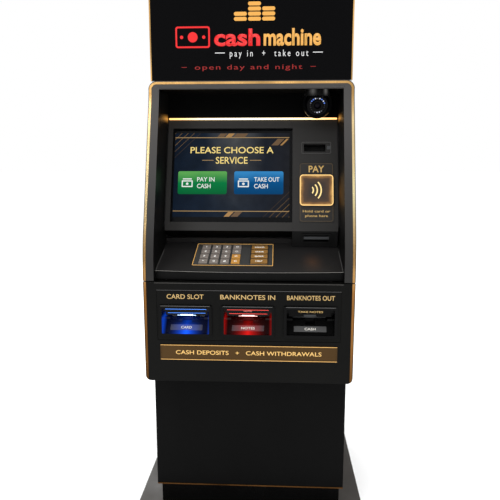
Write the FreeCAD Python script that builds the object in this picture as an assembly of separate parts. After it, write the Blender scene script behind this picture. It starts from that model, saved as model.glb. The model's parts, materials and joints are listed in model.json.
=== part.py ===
import FreeCAD, Part
import math
import os

# Free-standing cash machine: floor plate, steel pedestal, console and topper sign.
# Millimetres. +X is the user's right, +Y goes away from the user, +Z is up.
# The origin is at the centre of the floor plate's underside.

V = FreeCAD.Vector

# ---- driving dimensions -------------------------------------------------------------------

CABINET_WIDTH = 489.0
CABINET_DEPTH = 500.0
CABINET_HEIGHT = 325.0
CABINET_WALL = 4.0

PLATE_THICK = 12.0
PLATE_SIDE_MARGIN = 55.5
PLATE_FRONT_MARGIN = 90.0
PLATE_BACK_MARGIN = 40.0
ANCHOR_HOLE_RADIUS = 7.0
ANCHOR_INSET = 27.0
PLINTH_HEIGHT = 62.5
PLINTH_SETBACK = 20.0
PLINTH_SIDE_SETBACK = 7.5
PLINTH_WALL = 5.0

CONSOLE_OVERHANG = 8.0          # console side beyond the pedestal side
CONSOLE_WALL = 3.0
FASCIA_PROUD = 62.0             # fascia front ahead of the pedestal front
FASCIA_HEIGHT = 248.5
FASCIA_WALL = 4.0
FASCIA_CORNER = 14.0
SKIRT_DROP = 10.0               # fascia bottom below the pedestal top
SKIRT_GAP = 2.0
SEAM_GAP = 2.5                  # groove between lower and upper console
UPPER_HEIGHT = 476.0
CHEEK_WIDTH = 26.3
EDGE_ROUND = 1.5                # rounding of the console's outer front edges
LEAN = 17.3                     # the upper front leans back by this angle
LEAN_START = 64.0               # height above the seam where it starts
LEAN_BEND = 415.0
HOOD_BAND = 44.0                # the steeper band at the top of the front
HOOD_LEAN = 8.0
HOOD_THICK = 20.0               # hood cover
HOOD_CORNER = 19.9              # its rounded outer corners
HOOD_LIP = 18.0

PANEL_LEAN = 18.4
PANEL_DEPTH = 174.2             # panel datum behind the fascia front
PANEL_RISE = 249.5              # panel datum above the seam
PANEL_HALF = 152.0              # panel datum to its top and bottom edge
PANEL_THICK = 4.0
PANEL_SIDE_GAP = 3.5
COLUMN_WIDTH = 120.3
SCREEN_HEIGHT = 253.0           # visible glass
SCREEN_DROP = 3.0               # glass centre below the panel datum
SCREEN_DEPTH = 10.0             # glass behind the panel face
SCREEN_MARGIN = 12.7            # left edge of the panel to the glass
LED_HEIGHT = 3.8                # light bar along the panel's top
LED_PROUD = 3.0
DISPLAY_BORDER = 4.0            # module hidden behind the bezel
DISPLAY_THICK = 18.0

SHELF_SLOPE = 17.0
SHELF_SETBACK = 20.0            # shelf front edge behind the fascia front
SHELF_RISE = 23.0               # shelf front edge above the seam
SHELF_LENGTH = 154.0
SHELF_SHORT = 129.7             # in front of the control column
SHELF_THICK = 4.0
SHELF_BOW = 6.0
RISER_HEIGHT = 13.0
RISER_THICK = 8.0

KEYPAD_CENTRE = -41.0
KEYPAD_NEAR = 20.0              # from the shelf's front edge
KEYPAD_WIDTH = 197.0
KEYPAD_LENGTH = 120.0
KEYPAD_PROUD = 2.0
KEYPAD_TRAY = 10.0
KEY_WIDTH = 21.4
KEY_LENGTH = 21.2
KEY_PITCH = 26.6
KEY_PROUD = 4.6
KEY_GAP = 0.3
KEY_FLANGE = 1.5
FUNCTION_KEY_WIDTH = 41.7
FUNCTION_KEY_LENGTH = 24.6
FUNCTION_KEY_PITCH = 25.6

SLOT_MOUTH_WIDTH = 114.0        # card, notes and cash modules
SLOT_MOUTH_HEIGHT = 63.0
SLOT_SIDE_BORDER = 7.0
SLOT_BORDER = 7.5
SLOT_SPACING = 22.1             # between neighbouring frames
SLOT_OFFSET = -1.5
SLOT_RISE = 153.0               # module centres above the fascia's bottom edge
SLOT_DEPTH = 48.0
SLOT_WALL = 2.5
SLOT_PROUD = 3.0
SLOT_BACK_WALL = 3.0
GAP_HEIGHT = 12.0               # the open mouth inside a module
GAP_MARGIN = 15.0               # from the module's mouth to its open gap, each side
FIELD_MARGIN = 6.9              # sunk field round the modules
FIELD_BELOW = 49.0
FIELD_ABOVE = 75.0
FIELD_DEPTH = 1.5
NAME_PLATE_WIDTH = 427.0
NAME_PLATE_HEIGHT = 38.0
NAME_PLATE_RISE = 56.0
NAME_PLATE_THICK = 2.5

READER_WIDTH = 87.0
READER_HEIGHT = 156.0
READER_LOW = -128.0
PAD_SIZE = 82.0
PAD_LOW = -86.5
PAD_CORNER = 9.0
TICKET_WIDTH = 76.0
TICKET_HEIGHT = 31.0
TICKET_CENTRE = 69.5
TICKET_MOUTH_WIDTH = 56.0
TICKET_MOUTH_HEIGHT = 20.0
TICKET_POCKET = 22.0
OUTLET_WIDTH = 74.0             # receipt outlet under the panel
OUTLET_HEIGHT = 28.0
OUTLET_DROP = 20.0              # its middle below the panel's bottom edge
OUTLET_RIM = 5.0

CAMERA_X = 166.0
CAMERA_BACK = 54.0              # ball centre behind the hood band
CAMERA_BALL = 31.0
CAMERA_CEILING_GAP = 1.0        # ball below the ceiling
CAMERA_SHELL = 6.5              # yoke shell round the ball
CAMERA_BEARING_INSET = 1.5      # turning collar inside the ball's radius
CAMERA_MOUNT_WALL = 2.5
CAMERA_MOUNT_HEIGHT = 16.0
CAMERA_FACE_INSET = 14.0        # ball surface to the flat lens face
CAMERA_TILT = 22.0

TRIM_WIDTH = 5.5
TRIM_INSET = EDGE_ROUND + 0.6   # gold line clear of the rounded edge
TRIM_PROUD = 1.0
FOOT_TRIM_HEIGHT = 3.0
TOPPER_TRIM_WIDTH = 3.0

TOPPER_WIDTH = 493.0
TOPPER_HEIGHT = 240.0
TOPPER_DEPTH = 110.0
TOPPER_WALL = 3.0
TOPPER_FACE_THICK = 5.0

DOOR_GAP = 2.0
DOOR_SKIN = 3.0
DOOR_PAN = 24.0
DOOR_RIM = 25.0                 # pedestal back rim round the vault door
SERVICE_RIM = 18.0
SERVICE_SILL = 55.0
SERVICE_PAN = 16.0
HINGE_RADIUS = 6.0
PIN_RADIUS = 3.0
PIN_CLEARANCE = 0.05
KNUCKLE = 24.0
LEAF = 20.0
FRAME_SHEET = 3.0

TRAY_HEIGHT = 95.0              # equipment tray above the pedestal top
NOTE_PATH_WIDTH = 110.0
NOTE_PATH_DEPTH = 100.0
PATH_CLEARANCE = 4.0
DISPENSER_WIDTH = 170.0
DISPENSER_HEIGHT = 200.0
CASSETTE_HEIGHT = 110.0
BOLT_RADIUS = 6.0
BOLT_CLEARANCE = 0.08
SPINDLE_RADIUS = 6.0
DIAL_RADIUS = 24.0
FAN_RADIUS = 52.0
FAN_THICK = 25.0
FAN_DROP = 110.0                # fan centre below the service door's top
INLET_X = 150.0
INLET_SIZE = (28.0, 21.0)
PRINTER_SETBACK = 30.0          # printer behind the column's foot
PRINTER_RISE = 58.0             # and above the seam
PRINTER_DEPTH = 130.0
PRINTER_BED = 5.0
PRINTER_ENGINE = 50.0
ROLL_RADIUS = 28.0
ROLL_GAP = 10.0                 # paper roll to the bed and the engine
ROLL_WIDTH = 70.0
ROLL_BORE = 6.0
TOUCH = 0.3                     # air between parts that must stay free

# ---- places worked out from them ----------------------------------------------------------

PLATE_WIDTH = CABINET_WIDTH + 2 * PLATE_SIDE_MARGIN
PLATE_DEPTH = PLATE_FRONT_MARGIN + CABINET_DEPTH + PLATE_BACK_MARGIN
FRONT = -PLATE_DEPTH / 2 + PLATE_FRONT_MARGIN
BACK = FRONT + CABINET_DEPTH
CABINET_LOW = PLATE_THICK + PLINTH_HEIGHT
CABINET_TOP = CABINET_LOW + CABINET_HEIGHT
CABINET_HALF = CABINET_WIDTH / 2
CONSOLE_HALF = CABINET_HALF + CONSOLE_OVERHANG
CHEEK_IN = CONSOLE_HALF - CHEEK_WIDTH
FASCIA_Y = FRONT - FASCIA_PROUD
FASCIA_LOW = CABINET_TOP - SKIRT_DROP
SEAM = FASCIA_LOW + FASCIA_HEIGHT
UPPER_LOW = SEAM + SEAM_GAP
UPPER_TOP = UPPER_LOW + UPPER_HEIGHT
CHEEK_TOP = UPPER_TOP - HOOD_THICK
CEILING = UPPER_TOP - HOOD_LIP
PANEL_RIGHT = CHEEK_IN - PANEL_SIDE_GAP
COLUMN_LEFT = CHEEK_IN - COLUMN_WIDTH
COLUMN_CENTRE = (COLUMN_LEFT + 3.0 + CHEEK_IN) / 2
SCREEN_LEFT = -PANEL_RIGHT + SCREEN_MARGIN
SCREEN_LOW = -SCREEN_DROP - SCREEN_HEIGHT / 2
SCREEN_TOP = -SCREEN_DROP + SCREEN_HEIGHT / 2
TRAY_Z = CABINET_TOP + TRAY_HEIGHT
SLOT_FRAME_WIDTH = SLOT_MOUTH_WIDTH + 2 * SLOT_SIDE_BORDER
SLOT_FRAME_HEIGHT = SLOT_MOUTH_HEIGHT + 2 * SLOT_BORDER
SLOT_PITCH = SLOT_FRAME_WIDTH + SLOT_SPACING
GAP_HALF = SLOT_MOUTH_WIDTH / 2 - GAP_MARGIN
FIELD_HALF = SLOT_PITCH + SLOT_FRAME_WIDTH / 2 + FIELD_MARGIN
FIELD_LOW = SLOT_RISE - FIELD_BELOW
FIELD_HIGH = SLOT_RISE + FIELD_ABOVE
CASH_X = SLOT_OFFSET + SLOT_PITCH
SLOT_Z = FASCIA_LOW + SLOT_RISE
FRAME_FRONT = FRONT - 21.0
FRAME_BACK = BACK - CABINET_WALL
CAMERA_YOKE = CAMERA_BALL + CAMERA_SHELL
CAMERA_BEARING = CAMERA_BALL - CAMERA_BEARING_INSET
CAMERA_FACE = CAMERA_BALL - CAMERA_FACE_INSET
CAMERA_CENTRE = V(CAMERA_X, 0, CEILING - CAMERA_BALL - CAMERA_CEILING_GAP)

nodes = {}


# ---- shape helpers ------------------------------------------------------------------------

def block(x, y, z):
    """Box from three (low, high) pairs."""
    return Part.makeBox(x[1] - x[0], y[1] - y[0], z[1] - z[0], V(x[0], y[0], z[0]))


def rod(radius, start, end):
    """Cylinder from one end's centre to the other's."""
    start, end = V(*start), V(*end)
    return Part.makeCylinder(radius, (end - start).Length, start, end - start)


def ring(outer, inner, start, end):
    return rod(outer, start, end).cut(rod(inner, start, end))


def outline(corners):
    """Closed wire in the XY plane through (x, y, radius) corners, rounded by tangent arcs."""
    ends = []
    for n, (x, y, radius) in enumerate(corners):
        here = V(x, y, 0)
        before = (V(corners[n - 1][0], corners[n - 1][1], 0) - here).normalize()
        after_corner = corners[(n + 1) % len(corners)]
        after = (V(after_corner[0], after_corner[1], 0) - here).normalize()
        if radius == 0:
            ends.append((here, None, here))
            continue
        half = before.getAngle(after) / 2
        run = radius / math.tan(half)
        middle = here + (before + after).normalize() * (radius / math.sin(half) - radius)
        ends.append((here + before * run, middle, here + after * run))
    edges = []
    for n, (entry, middle, leave) in enumerate(ends):
        if middle is not None:
            edges.append(Part.Arc(entry, middle, leave).toShape())
        following = ends[(n + 1) % len(ends)][0]
        if (following - leave).Length > 1e-6:
            edges.append(Part.LineSegment(leave, following).toShape())
    return Part.Wire(edges)


def rectangle(x, y, radius=0):
    return [(x[0], y[0], radius), (x[1], y[0], radius), (x[1], y[1], radius), (x[0], y[1], radius)]


def slab(corners, z):
    """Outline in XY carried from z[0] to z[1]."""
    face = Part.Face(outline(corners))
    face.translate(V(0, 0, z[0]))
    return face.extrude(V(0, 0, z[1] - z[0]))


def sharp(points):
    return [(a, b, 0) for a, b in points]


def along_x(corners, x):
    """Outline given in (y, z) carried from x[0] to x[1]."""
    shape = slab(corners, x)
    shape.rotate(V(0, 0, 0), V(1, 1, 1), 120)
    return shape


def along_y(corners, y):
    """Outline given in (x, z) carried from y[0] to y[1]."""
    shape = slab(corners, (-y[1], -y[0]))
    shape.rotate(V(0, 0, 0), V(1, 0, 0), 90)
    return shape


def fuse(first, *others):
    for other in others:
        first = first.fuse(other)
    return first.removeSplitter()


def cut(body, *tools):
    for tool in tools:
        body = body.cut(tool)
    return body


def seat(shape, frame):
    """Shape drawn in a frame's own axes, put in its place."""
    placed = shape.copy()
    placed.Placement = frame.multiply(placed.Placement)
    return placed


def save(name, *solids):
    nodes[name] = solids[0] if len(solids) == 1 else Part.makeCompound(list(solids))


# Each frame has X to the right, Y up its surface and Z out of it.
PANEL = FreeCAD.Placement(
    V(0, FASCIA_Y + PANEL_DEPTH, UPPER_LOW + PANEL_RISE),
    FreeCAD.Rotation(V(1, 0, 0), 90 - PANEL_LEAN),
)
SHELF = FreeCAD.Placement(
    V(0, FASCIA_Y + SHELF_SETBACK, UPPER_LOW + SHELF_RISE),
    FreeCAD.Rotation(V(1, 0, 0), SHELF_SLOPE),
)
FACE = FreeCAD.Placement(V(0, FASCIA_Y, FASCIA_LOW), FreeCAD.Rotation(V(1, 0, 0), 90))


def on(frame, up, out=0.0):
    """The (y, z) of a point up a frame's surface and out of it."""
    point = frame.multVec(V(0, up, out))
    return point.y, point.z


def front_line(shift):
    """Console side outline in (y, z), its front moved back by shift."""
    y0 = FASCIA_Y + shift
    bend = SEAM + LEAN_START
    band = UPPER_TOP - HOOD_BAND
    y1 = y0 + (band - bend) * math.tan(math.radians(LEAN))
    y2 = y1 + HOOD_BAND * math.tan(math.radians(HOOD_LEAN))
    return [(y0, FASCIA_LOW - 20, 0), (y0, bend, LEAN_BEND), (y1, band, 90.0), (y2, UPPER_TOP, 0),
            (BACK, UPPER_TOP, 0), (BACK, FASCIA_LOW - 20, 0)]


HOOD_Y = front_line(0)[3][0]
CAMERA_CENTRE.y = HOOD_Y + CAMERA_BACK
CEILING_BACK = on(PANEL, (CEILING - PANEL.Base.z) / math.cos(math.radians(PANEL_LEAN)))[0]


# ---- floor and pedestal -------------------------------------------------------------------

def make_floor_base():
    half_x, half_y = PLATE_WIDTH / 2, PLATE_DEPTH / 2
    plate = block((-half_x, half_x), (-half_y, half_y), (0, PLATE_THICK))
    for x in (-half_x + ANCHOR_INSET, half_x - ANCHOR_INSET):
        for y in (-half_y + ANCHOR_INSET, half_y - ANCHOR_INSET):
            plate = plate.cut(rod(ANCHOR_HOLE_RADIUS, (x, y, -1), (x, y, PLATE_THICK + 1)))
    side = CABINET_HALF - PLINTH_SIDE_SETBACK
    kick = block((-side, side), (FRONT + PLINTH_SETBACK, BACK - PLINTH_SETBACK),
                 (PLATE_THICK, CABINET_LOW))
    inside = side - PLINTH_WALL
    hollow = block((-inside, inside),
                   (FRONT + PLINTH_SETBACK + PLINTH_WALL, BACK - PLINTH_SETBACK - PLINTH_WALL),
                   (PLATE_THICK, CABINET_LOW))
    save("floor_base", fuse(plate, kick.cut(hollow)))


def note_path(z, clearance):
    """The upright passage that notes take from the pedestal to the cash slot."""
    half = NOTE_PATH_WIDTH / 2 + clearance
    low = FRONT + 10.0
    return block((CASH_X - half, CASH_X + half), (low - clearance, low + NOTE_PATH_DEPTH + clearance), z)


def knuckle_pair(x, y, z):
    """Lift-off hinge: the frame's half with its pin, and the door's half, turning about (x, y)."""
    split = z + KNUCKLE
    top = split + KNUCKLE
    fixed = fuse(
        rod(HINGE_RADIUS, (x, y, z), (x, y, split)),
        rod(PIN_RADIUS, (x, y, split), (x, y, top)),
        block((x - LEAF, x), (y - HINGE_RADIUS, y - HINGE_RADIUS + 3), (z, split)),
    )
    moving = fuse(
        rod(HINGE_RADIUS, (x, y, split + TOUCH), (x, y, top)),
        block((x, x + LEAF), (y - HINGE_RADIUS, y - HINGE_RADIUS + 3), (split + TOUCH, top)),
    )
    moving = moving.cut(rod(PIN_RADIUS + PIN_CLEARANCE, (x, y, split), (x, y, top + 1)))
    return fixed, moving


VAULT_X = -(CABINET_HALF - DOOR_RIM)
VAULT_Z = (CABINET_LOW + DOOR_RIM, CABINET_TOP - DOOR_RIM)
HINGE_Y = BACK + HINGE_RADIUS
VAULT_HINGES = (VAULT_Z[0] + 20, VAULT_Z[1] - 20 - 2 * KNUCKLE)
LOCK_X = -VAULT_X - 50.0
LOCK_Z = (VAULT_Z[0] + VAULT_Z[1]) / 2
DIAL_Z = LOCK_Z + 62.0


def make_cabinet_shell():
    wall = CABINET_WALL
    shell = block((-CABINET_HALF, CABINET_HALF), (FRONT, BACK), (CABINET_LOW, CABINET_TOP))
    shell = cut(
        shell,
        block((-CABINET_HALF + wall, CABINET_HALF - wall), (FRONT + wall, BACK - wall),
              (CABINET_LOW + wall, CABINET_TOP - wall)),
        block((VAULT_X, -VAULT_X), (BACK - wall - 1, BACK + 1), VAULT_Z),
        note_path((CABINET_TOP - wall - 1, CABINET_TOP + 1), PATH_CLEARANCE),
    )
    for z in VAULT_HINGES:
        shell = shell.fuse(knuckle_pair(VAULT_X, HINGE_Y, z)[0])
    save("cabinet_shell", shell.removeSplitter())


def door_pan(x, z, depth):
    """Folded steel door: outer skin with a rim turned inwards."""
    outer = block(x, (BACK - depth, BACK), z)
    skin = DOOR_SKIN
    hollow = block((x[0] + skin, x[1] - skin), (BACK - depth - 1, BACK - skin), (z[0] + skin, z[1] - skin))
    return outer.cut(hollow)


BOLT_Y = BACK - DOOR_PAN + 10.0
BOLT_HEIGHTS = (VAULT_Z[0] + 45, LOCK_Z, VAULT_Z[1] - 45)


def make_vault_door():
    x = (VAULT_X + DOOR_GAP, -VAULT_X - DOOR_GAP)
    z = (VAULT_Z[0] + DOOR_GAP, VAULT_Z[1] - DOOR_GAP)
    door = door_pan(x, z, DOOR_PAN)
    for at in VAULT_HINGES:
        door = door.fuse(knuckle_pair(VAULT_X, HINGE_Y, at)[1])
    for at in BOLT_HEIGHTS:
        door = door.cut(rod(BOLT_RADIUS + BOLT_CLEARANCE, (x[1] - 10, BOLT_Y, at), (x[1] + 1, BOLT_Y, at)))
    bore = SPINDLE_RADIUS + PIN_CLEARANCE
    for at in (LOCK_Z, DIAL_Z):
        door = door.cut(rod(bore, (LOCK_X, BACK - 6, at), (LOCK_X, BACK + 1, at)))
    save("vault_door", door.removeSplitter())


def make_vault_handle():
    spindle = rod(SPINDLE_RADIUS, (LOCK_X, BACK - 6, LOCK_Z), (LOCK_X, BACK + 10, LOCK_Z))
    boss = rod(17.0, (LOCK_X, BACK + TOUCH, LOCK_Z), (LOCK_X, BACK + 12, LOCK_Z))
    grip = slab(rectangle((-100, 12), (-9, 9), 8.9), (12, 22))
    grip = seat(grip, FreeCAD.Placement(V(LOCK_X, BACK, LOCK_Z), FreeCAD.Rotation(V(1, 0, 0), -90)))
    save("vault_handle", fuse(spindle, boss, grip))


def make_vault_lock_dial():
    base = rod(DIAL_RADIUS, (LOCK_X, BACK + TOUCH, DIAL_Z), (LOCK_X, BACK + 8, DIAL_Z))
    knob = rod(15.0, (LOCK_X, BACK + 8, DIAL_Z), (LOCK_X, BACK + 24, DIAL_Z))
    for n in range(12):
        angle = math.radians(30 * n)
        x, z = LOCK_X + 16.2 * math.cos(angle), DIAL_Z + 16.2 * math.sin(angle)
        knob = knob.cut(rod(2.4, (x, BACK + 9, z), (x, BACK + 25, z)))
    spindle = rod(SPINDLE_RADIUS, (LOCK_X, BACK - 6, DIAL_Z), (LOCK_X, BACK + 2, DIAL_Z))
    save("vault_lock_dial", fuse(base, knob, spindle))


def make_vault_bolts():
    edge = -VAULT_X - DOOR_GAP
    inner = edge - DOOR_SKIN
    carrier = block((inner - 30, inner - 18), (BOLT_Y - 7, BOLT_Y - 1),
                    (BOLT_HEIGHTS[0] - 12, BOLT_HEIGHTS[2] + 12))
    bolts = [rod(BOLT_RADIUS, (inner - 30, BOLT_Y, at), (edge - 0.5, BOLT_Y, at)) for at in BOLT_HEIGHTS]
    save("vault_bolts", fuse(carrier, *bolts))


# ---- console shells -----------------------------------------------------------------------

def profile(shift, x):
    return along_x(front_line(shift), x)


def make_lower_fascia():
    half = CONSOLE_HALF
    wall = FASCIA_WALL

    def body(inset, y, z):
        corner = FASCIA_CORNER - inset
        return along_y([(-half + inset, z[0], corner), (half - inset, z[0], corner),
                        (half - inset, z[1], 0), (-half + inset, z[1], 0)], y)

    shell = body(0, (FASCIA_Y, BACK), (FASCIA_LOW, SEAM))
    front_edges = [e for e in shell.Edges
                   if e.BoundBox.YMax < FASCIA_Y + 0.01 and e.BoundBox.ZMin < SEAM - 1]
    shell = shell.makeFillet(EDGE_ROUND, front_edges)
    shell = shell.cut(body(wall, (FASCIA_Y + wall, BACK + 1), (FASCIA_LOW + wall, SEAM - wall)))
    skirt = CABINET_HALF + SKIRT_GAP
    shell = shell.cut(block((-skirt, skirt), (FRONT - SKIRT_GAP, BACK + 1), (FASCIA_LOW - 1, SEAM - wall)))
    shell = shell.cut(block((-CHEEK_IN - TOUCH, CHEEK_IN + TOUCH), (FRAME_FRONT - TOUCH, BACK + 1),
                            (FASCIA_LOW, SEAM + 1)))
    shell = shell.cut(seat(slab(rectangle((-FIELD_HALF, FIELD_HALF), (FIELD_LOW, FIELD_HIGH), 3),
                                (-FIELD_DEPTH, 1)), FACE))
    for x in slot_centres():
        opening = slab(rectangle((x - SLOT_MOUTH_WIDTH / 2 - SLOT_WALL - TOUCH,
                                  x + SLOT_MOUTH_WIDTH / 2 + SLOT_WALL + TOUCH),
                                 (SLOT_RISE - SLOT_MOUTH_HEIGHT / 2 - SLOT_WALL - TOUCH,
                                  SLOT_RISE + SLOT_MOUTH_HEIGHT / 2 + SLOT_WALL + TOUCH)), (-10, 5))
        shell = shell.cut(seat(opening, FACE))
    save("lower_fascia", shell)


def slot_centres():
    return [SLOT_OFFSET + n * SLOT_PITCH for n in (-1, 0, 1)]


def make_cheek(side):
    inner, outer = CHEEK_IN, CONSOLE_HALF
    wall = CONSOLE_WALL
    limits = block((inner, outer), (FASCIA_Y - 5, BACK), (UPPER_LOW, CHEEK_TOP))
    cheek = profile(0, (inner, outer)).common(limits)
    edges = [e for e in cheek.Edges
             if e.BoundBox.XMin > outer - 0.01 and e.BoundBox.YMax < BACK - 100
             and e.BoundBox.ZLength > 1]
    cheek = cheek.makeFillet(EDGE_ROUND, edges)
    void = profile(wall, (inner + wall, outer - wall))
    void = void.common(block((inner, outer), (FASCIA_Y, BACK - wall), (UPPER_LOW + wall, CHEEK_TOP - wall)))
    window = block((inner - 1, inner + wall + 1), (FRONT + 250, BACK - 60), (UPPER_LOW + 60, CHEEK_TOP - 60))
    cheek = cut(cheek, void, window)
    if side < 0:
        cheek = cheek.mirror(V(0, 0, 0), V(1, 0, 0))
    save("right_cheek" if side > 0 else "left_cheek", cheek)


def make_hood_cover():
    half, wall = CONSOLE_HALF, CONSOLE_WALL
    top = along_y([(-half, CHEEK_TOP, 0), (half, CHEEK_TOP, 0), (half, UPPER_TOP, HOOD_CORNER),
                   (-half, UPPER_TOP, HOOD_CORNER)], (FASCIA_Y, BACK))
    cover = top.common(profile(0, (-half, half)))
    void = profile(wall, (-half + wall, half - wall))
    void = void.common(block((-half, half), (FASCIA_Y, BACK - wall), (CHEEK_TOP - 1, UPPER_TOP - wall)))
    corner = HOOD_CORNER - wall
    soft = along_y([(-half + wall, CHEEK_TOP - 2, 0), (half - wall, CHEEK_TOP - 2, 0),
                    (half - wall, UPPER_TOP - wall, corner), (-half + wall, UPPER_TOP - wall, corner)],
                   (FASCIA_Y, BACK))
    cover = cover.cut(void.common(soft))
    x = (-CHEEK_IN, CHEEK_IN)
    band_y = HOOD_Y - 4.0
    ceiling = block(x, (band_y, CEILING_BACK + 1), (CEILING, CEILING + wall))
    upstand = seat(slab(rectangle(x, (PANEL_HALF, PANEL_HALF + 400)), (-wall, 0)), PANEL)
    upstand = upstand.common(block(x, (FASCIA_Y, BACK), (UPPER_LOW, CEILING + 1)))
    save("hood_cover", fuse(cover, ceiling, upstand))


def trim_band():
    """Front view of the gold line round the console, as a solid through its whole depth."""

    def arch(inset, bottom):
        half = CONSOLE_HALF - inset
        top = UPPER_TOP - inset
        low_corner = FASCIA_CORNER - inset
        high_corner = HOOD_CORNER - inset
        return along_y([(-half, bottom, low_corner), (half, bottom, low_corner),
                        (half, top, high_corner), (-half, top, high_corner)], (FASCIA_Y - 10, BACK))

    outer = arch(TRIM_INSET, FASCIA_LOW + TRIM_INSET)
    return outer.cut(arch(TRIM_INSET + TRIM_WIDTH, FASCIA_LOW - 2 * FASCIA_CORNER))


def make_gold_trim_strips():
    skin = profile(-TRIM_PROUD, (-CONSOLE_HALF, CONSOLE_HALF)).cut(profile(0, (-CONSOLE_HALF, CONSOLE_HALF)))
    skin = skin.common(block((-CONSOLE_HALF, CONSOLE_HALF), (FASCIA_Y - 10, HOOD_Y + 1),
                             (FASCIA_LOW, UPPER_TOP - 1)))
    line = skin.common(trim_band())
    upper = line.common(block((-CONSOLE_HALF, CONSOLE_HALF), (FASCIA_Y - 10, BACK), (UPPER_LOW, UPPER_TOP)))
    lower = line.common(block((-CONSOLE_HALF, CONSOLE_HALF), (FASCIA_Y - 10, BACK), (FASCIA_LOW, SEAM)))
    foot = block((-CABINET_HALF, CABINET_HALF), (FRONT - TRIM_PROUD, FRONT),
                 (CABINET_LOW, CABINET_LOW + FOOT_TRIM_HEIGHT))
    side = TOPPER_WIDTH / 2
    inner = side - TOPPER_TRIM_WIDTH
    edges = [block(x, (HOOD_Y - TRIM_PROUD, HOOD_Y), (UPPER_TOP, UPPER_TOP + TOPPER_HEIGHT))
             for x in ((-side, -inner), (inner, side))]
    save("gold_trim_strips", *upper.Solids, *lower.Solids, foot, *edges)


# ---- screen wall --------------------------------------------------------------------------

RISER_TOP = on(SHELF, SHELF_LENGTH + RISER_THICK, RISER_HEIGHT + TOUCH)
COLUMN_FOOT = on(SHELF, SHELF_SHORT, TOUCH)
PANEL_FOOT = on(PANEL, -PANEL_HALF)


def undercut(foot, x):
    """Sheet from the panel's bottom edge back down to a foot on the shelf."""
    bottom = on(PANEL, -PANEL_HALF, -PANEL_THICK)
    drop = V(0, foot[0] - PANEL_FOOT[0], foot[1] - PANEL_FOOT[1]).normalize()
    behind = (drop.z * -PANEL_THICK, drop.y * PANEL_THICK)
    end = (foot[0] + behind[0], foot[1] + behind[1])
    start = (PANEL_FOOT[0] + behind[0], PANEL_FOOT[1] + behind[1])
    return along_x(sharp([PANEL_FOOT, foot, end, start, bottom]), x)


def make_screen_bezel():
    left = -PANEL_RIGHT
    right = COLUMN_LEFT - TOUCH
    plate = slab(rectangle((left, right), (-PANEL_HALF, PANEL_HALF)), (-PANEL_THICK, 0))
    collar = slab(rectangle((SCREEN_LEFT - 3, right), (SCREEN_LOW - 3, SCREEN_TOP + 3)),
                  (-SCREEN_DEPTH, -PANEL_THICK))
    window = slab(rectangle((SCREEN_LEFT, right + 1), (SCREEN_LOW, SCREEN_TOP)), (-SCREEN_DEPTH - 1, 1))
    bezel = seat(fuse(plate, collar).cut(window), PANEL)
    save("screen_bezel", fuse(bezel, undercut(RISER_TOP, (left, right))))


def make_display_module():
    border = DISPLAY_BORDER
    module = slab(rectangle((SCREEN_LEFT - border, COLUMN_LEFT - TOUCH),
                            (SCREEN_LOW - border, SCREEN_TOP + border)),
                  (-SCREEN_DEPTH - DISPLAY_THICK, -SCREEN_DEPTH))
    save("display_module", seat(module, PANEL))


UNDER_LENGTH = math.dist(PANEL_FOOT, COLUMN_FOOT)
UNDER_LEAN = math.degrees(math.atan2(COLUMN_FOOT[0] - PANEL_FOOT[0], PANEL_FOOT[1] - COLUMN_FOOT[1]))
UNDER = FreeCAD.Placement(V(0, *COLUMN_FOOT), FreeCAD.Rotation(V(1, 0, 0), 90 + UNDER_LEAN))
OUTLET_MIDDLE = UNDER_LENGTH - OUTLET_DROP


def outlet(grow, z):
    half = OUTLET_WIDTH / 2 + grow
    return seat(slab(rectangle((COLUMN_CENTRE - half, COLUMN_CENTRE + half),
                               (OUTLET_MIDDLE - OUTLET_HEIGHT / 2 - grow,
                                OUTLET_MIDDLE + OUTLET_HEIGHT / 2 + grow)), z), UNDER)


def make_control_column():
    left, right = COLUMN_LEFT, PANEL_RIGHT
    plate = slab(rectangle((left, right), (-PANEL_HALF, PANEL_HALF)), (-PANEL_THICK, 0))
    flank = slab(rectangle((left, left + 3), (-PANEL_HALF, PANEL_HALF)), (-SCREEN_DEPTH - 4, 0))
    low = TICKET_CENTRE - TICKET_HEIGHT / 2
    high = TICKET_CENTRE + TICKET_HEIGHT / 2
    rim_x = (COLUMN_CENTRE - TICKET_WIDTH / 2, COLUMN_CENTRE + TICKET_WIDTH / 2)
    rim = slab(rectangle(rim_x, (low, high), 4), (0, 1)).cut(
        slab(rectangle((rim_x[0] + 2, rim_x[1] - 2), (low + 2, high - 2), 3), (0, 1)))
    mouth_x = (COLUMN_CENTRE - TICKET_MOUTH_WIDTH / 2 - 4, COLUMN_CENTRE + TICKET_MOUTH_WIDTH / 2 - 4)
    mouth_y = (TICKET_CENTRE - TICKET_MOUTH_HEIGHT / 2, TICKET_CENTRE + TICKET_MOUTH_HEIGHT / 2)
    pocket = slab(rectangle((mouth_x[0] - 2, mouth_x[1] + 2), (mouth_y[0] - 2, mouth_y[1] + 2)),
                  (-TICKET_POCKET - 2, -PANEL_THICK))
    mouth = slab(rectangle(mouth_x, mouth_y, 1), (-TICKET_POCKET, 1))
    ramp = along_x(sharp([(mouth_y[0], -2), (mouth_y[0], -TICKET_POCKET), (mouth_y[0] + 9, -TICKET_POCKET)]),
                   mouth_x)
    face = fuse(plate, flank, rim, pocket).cut(mouth).fuse(ramp)
    column = seat(face, PANEL)
    cheek = along_x(sharp([PANEL_FOOT, COLUMN_FOOT, RISER_TOP, on(PANEL, -PANEL_HALF, -PANEL_THICK)]),
                    (left, left + 3))
    riser = seat(block((left - 1, left + 4), (SHELF_LENGTH - TOUCH, SHELF_LENGTH + 60),
                       (-20, RISER_HEIGHT + TOUCH)), SHELF)
    column = fuse(column, undercut(COLUMN_FOOT, (left, right)), cheek.cut(riser))
    save("control_column", column.cut(outlet(TOUCH, (-20, 10))))


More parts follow.
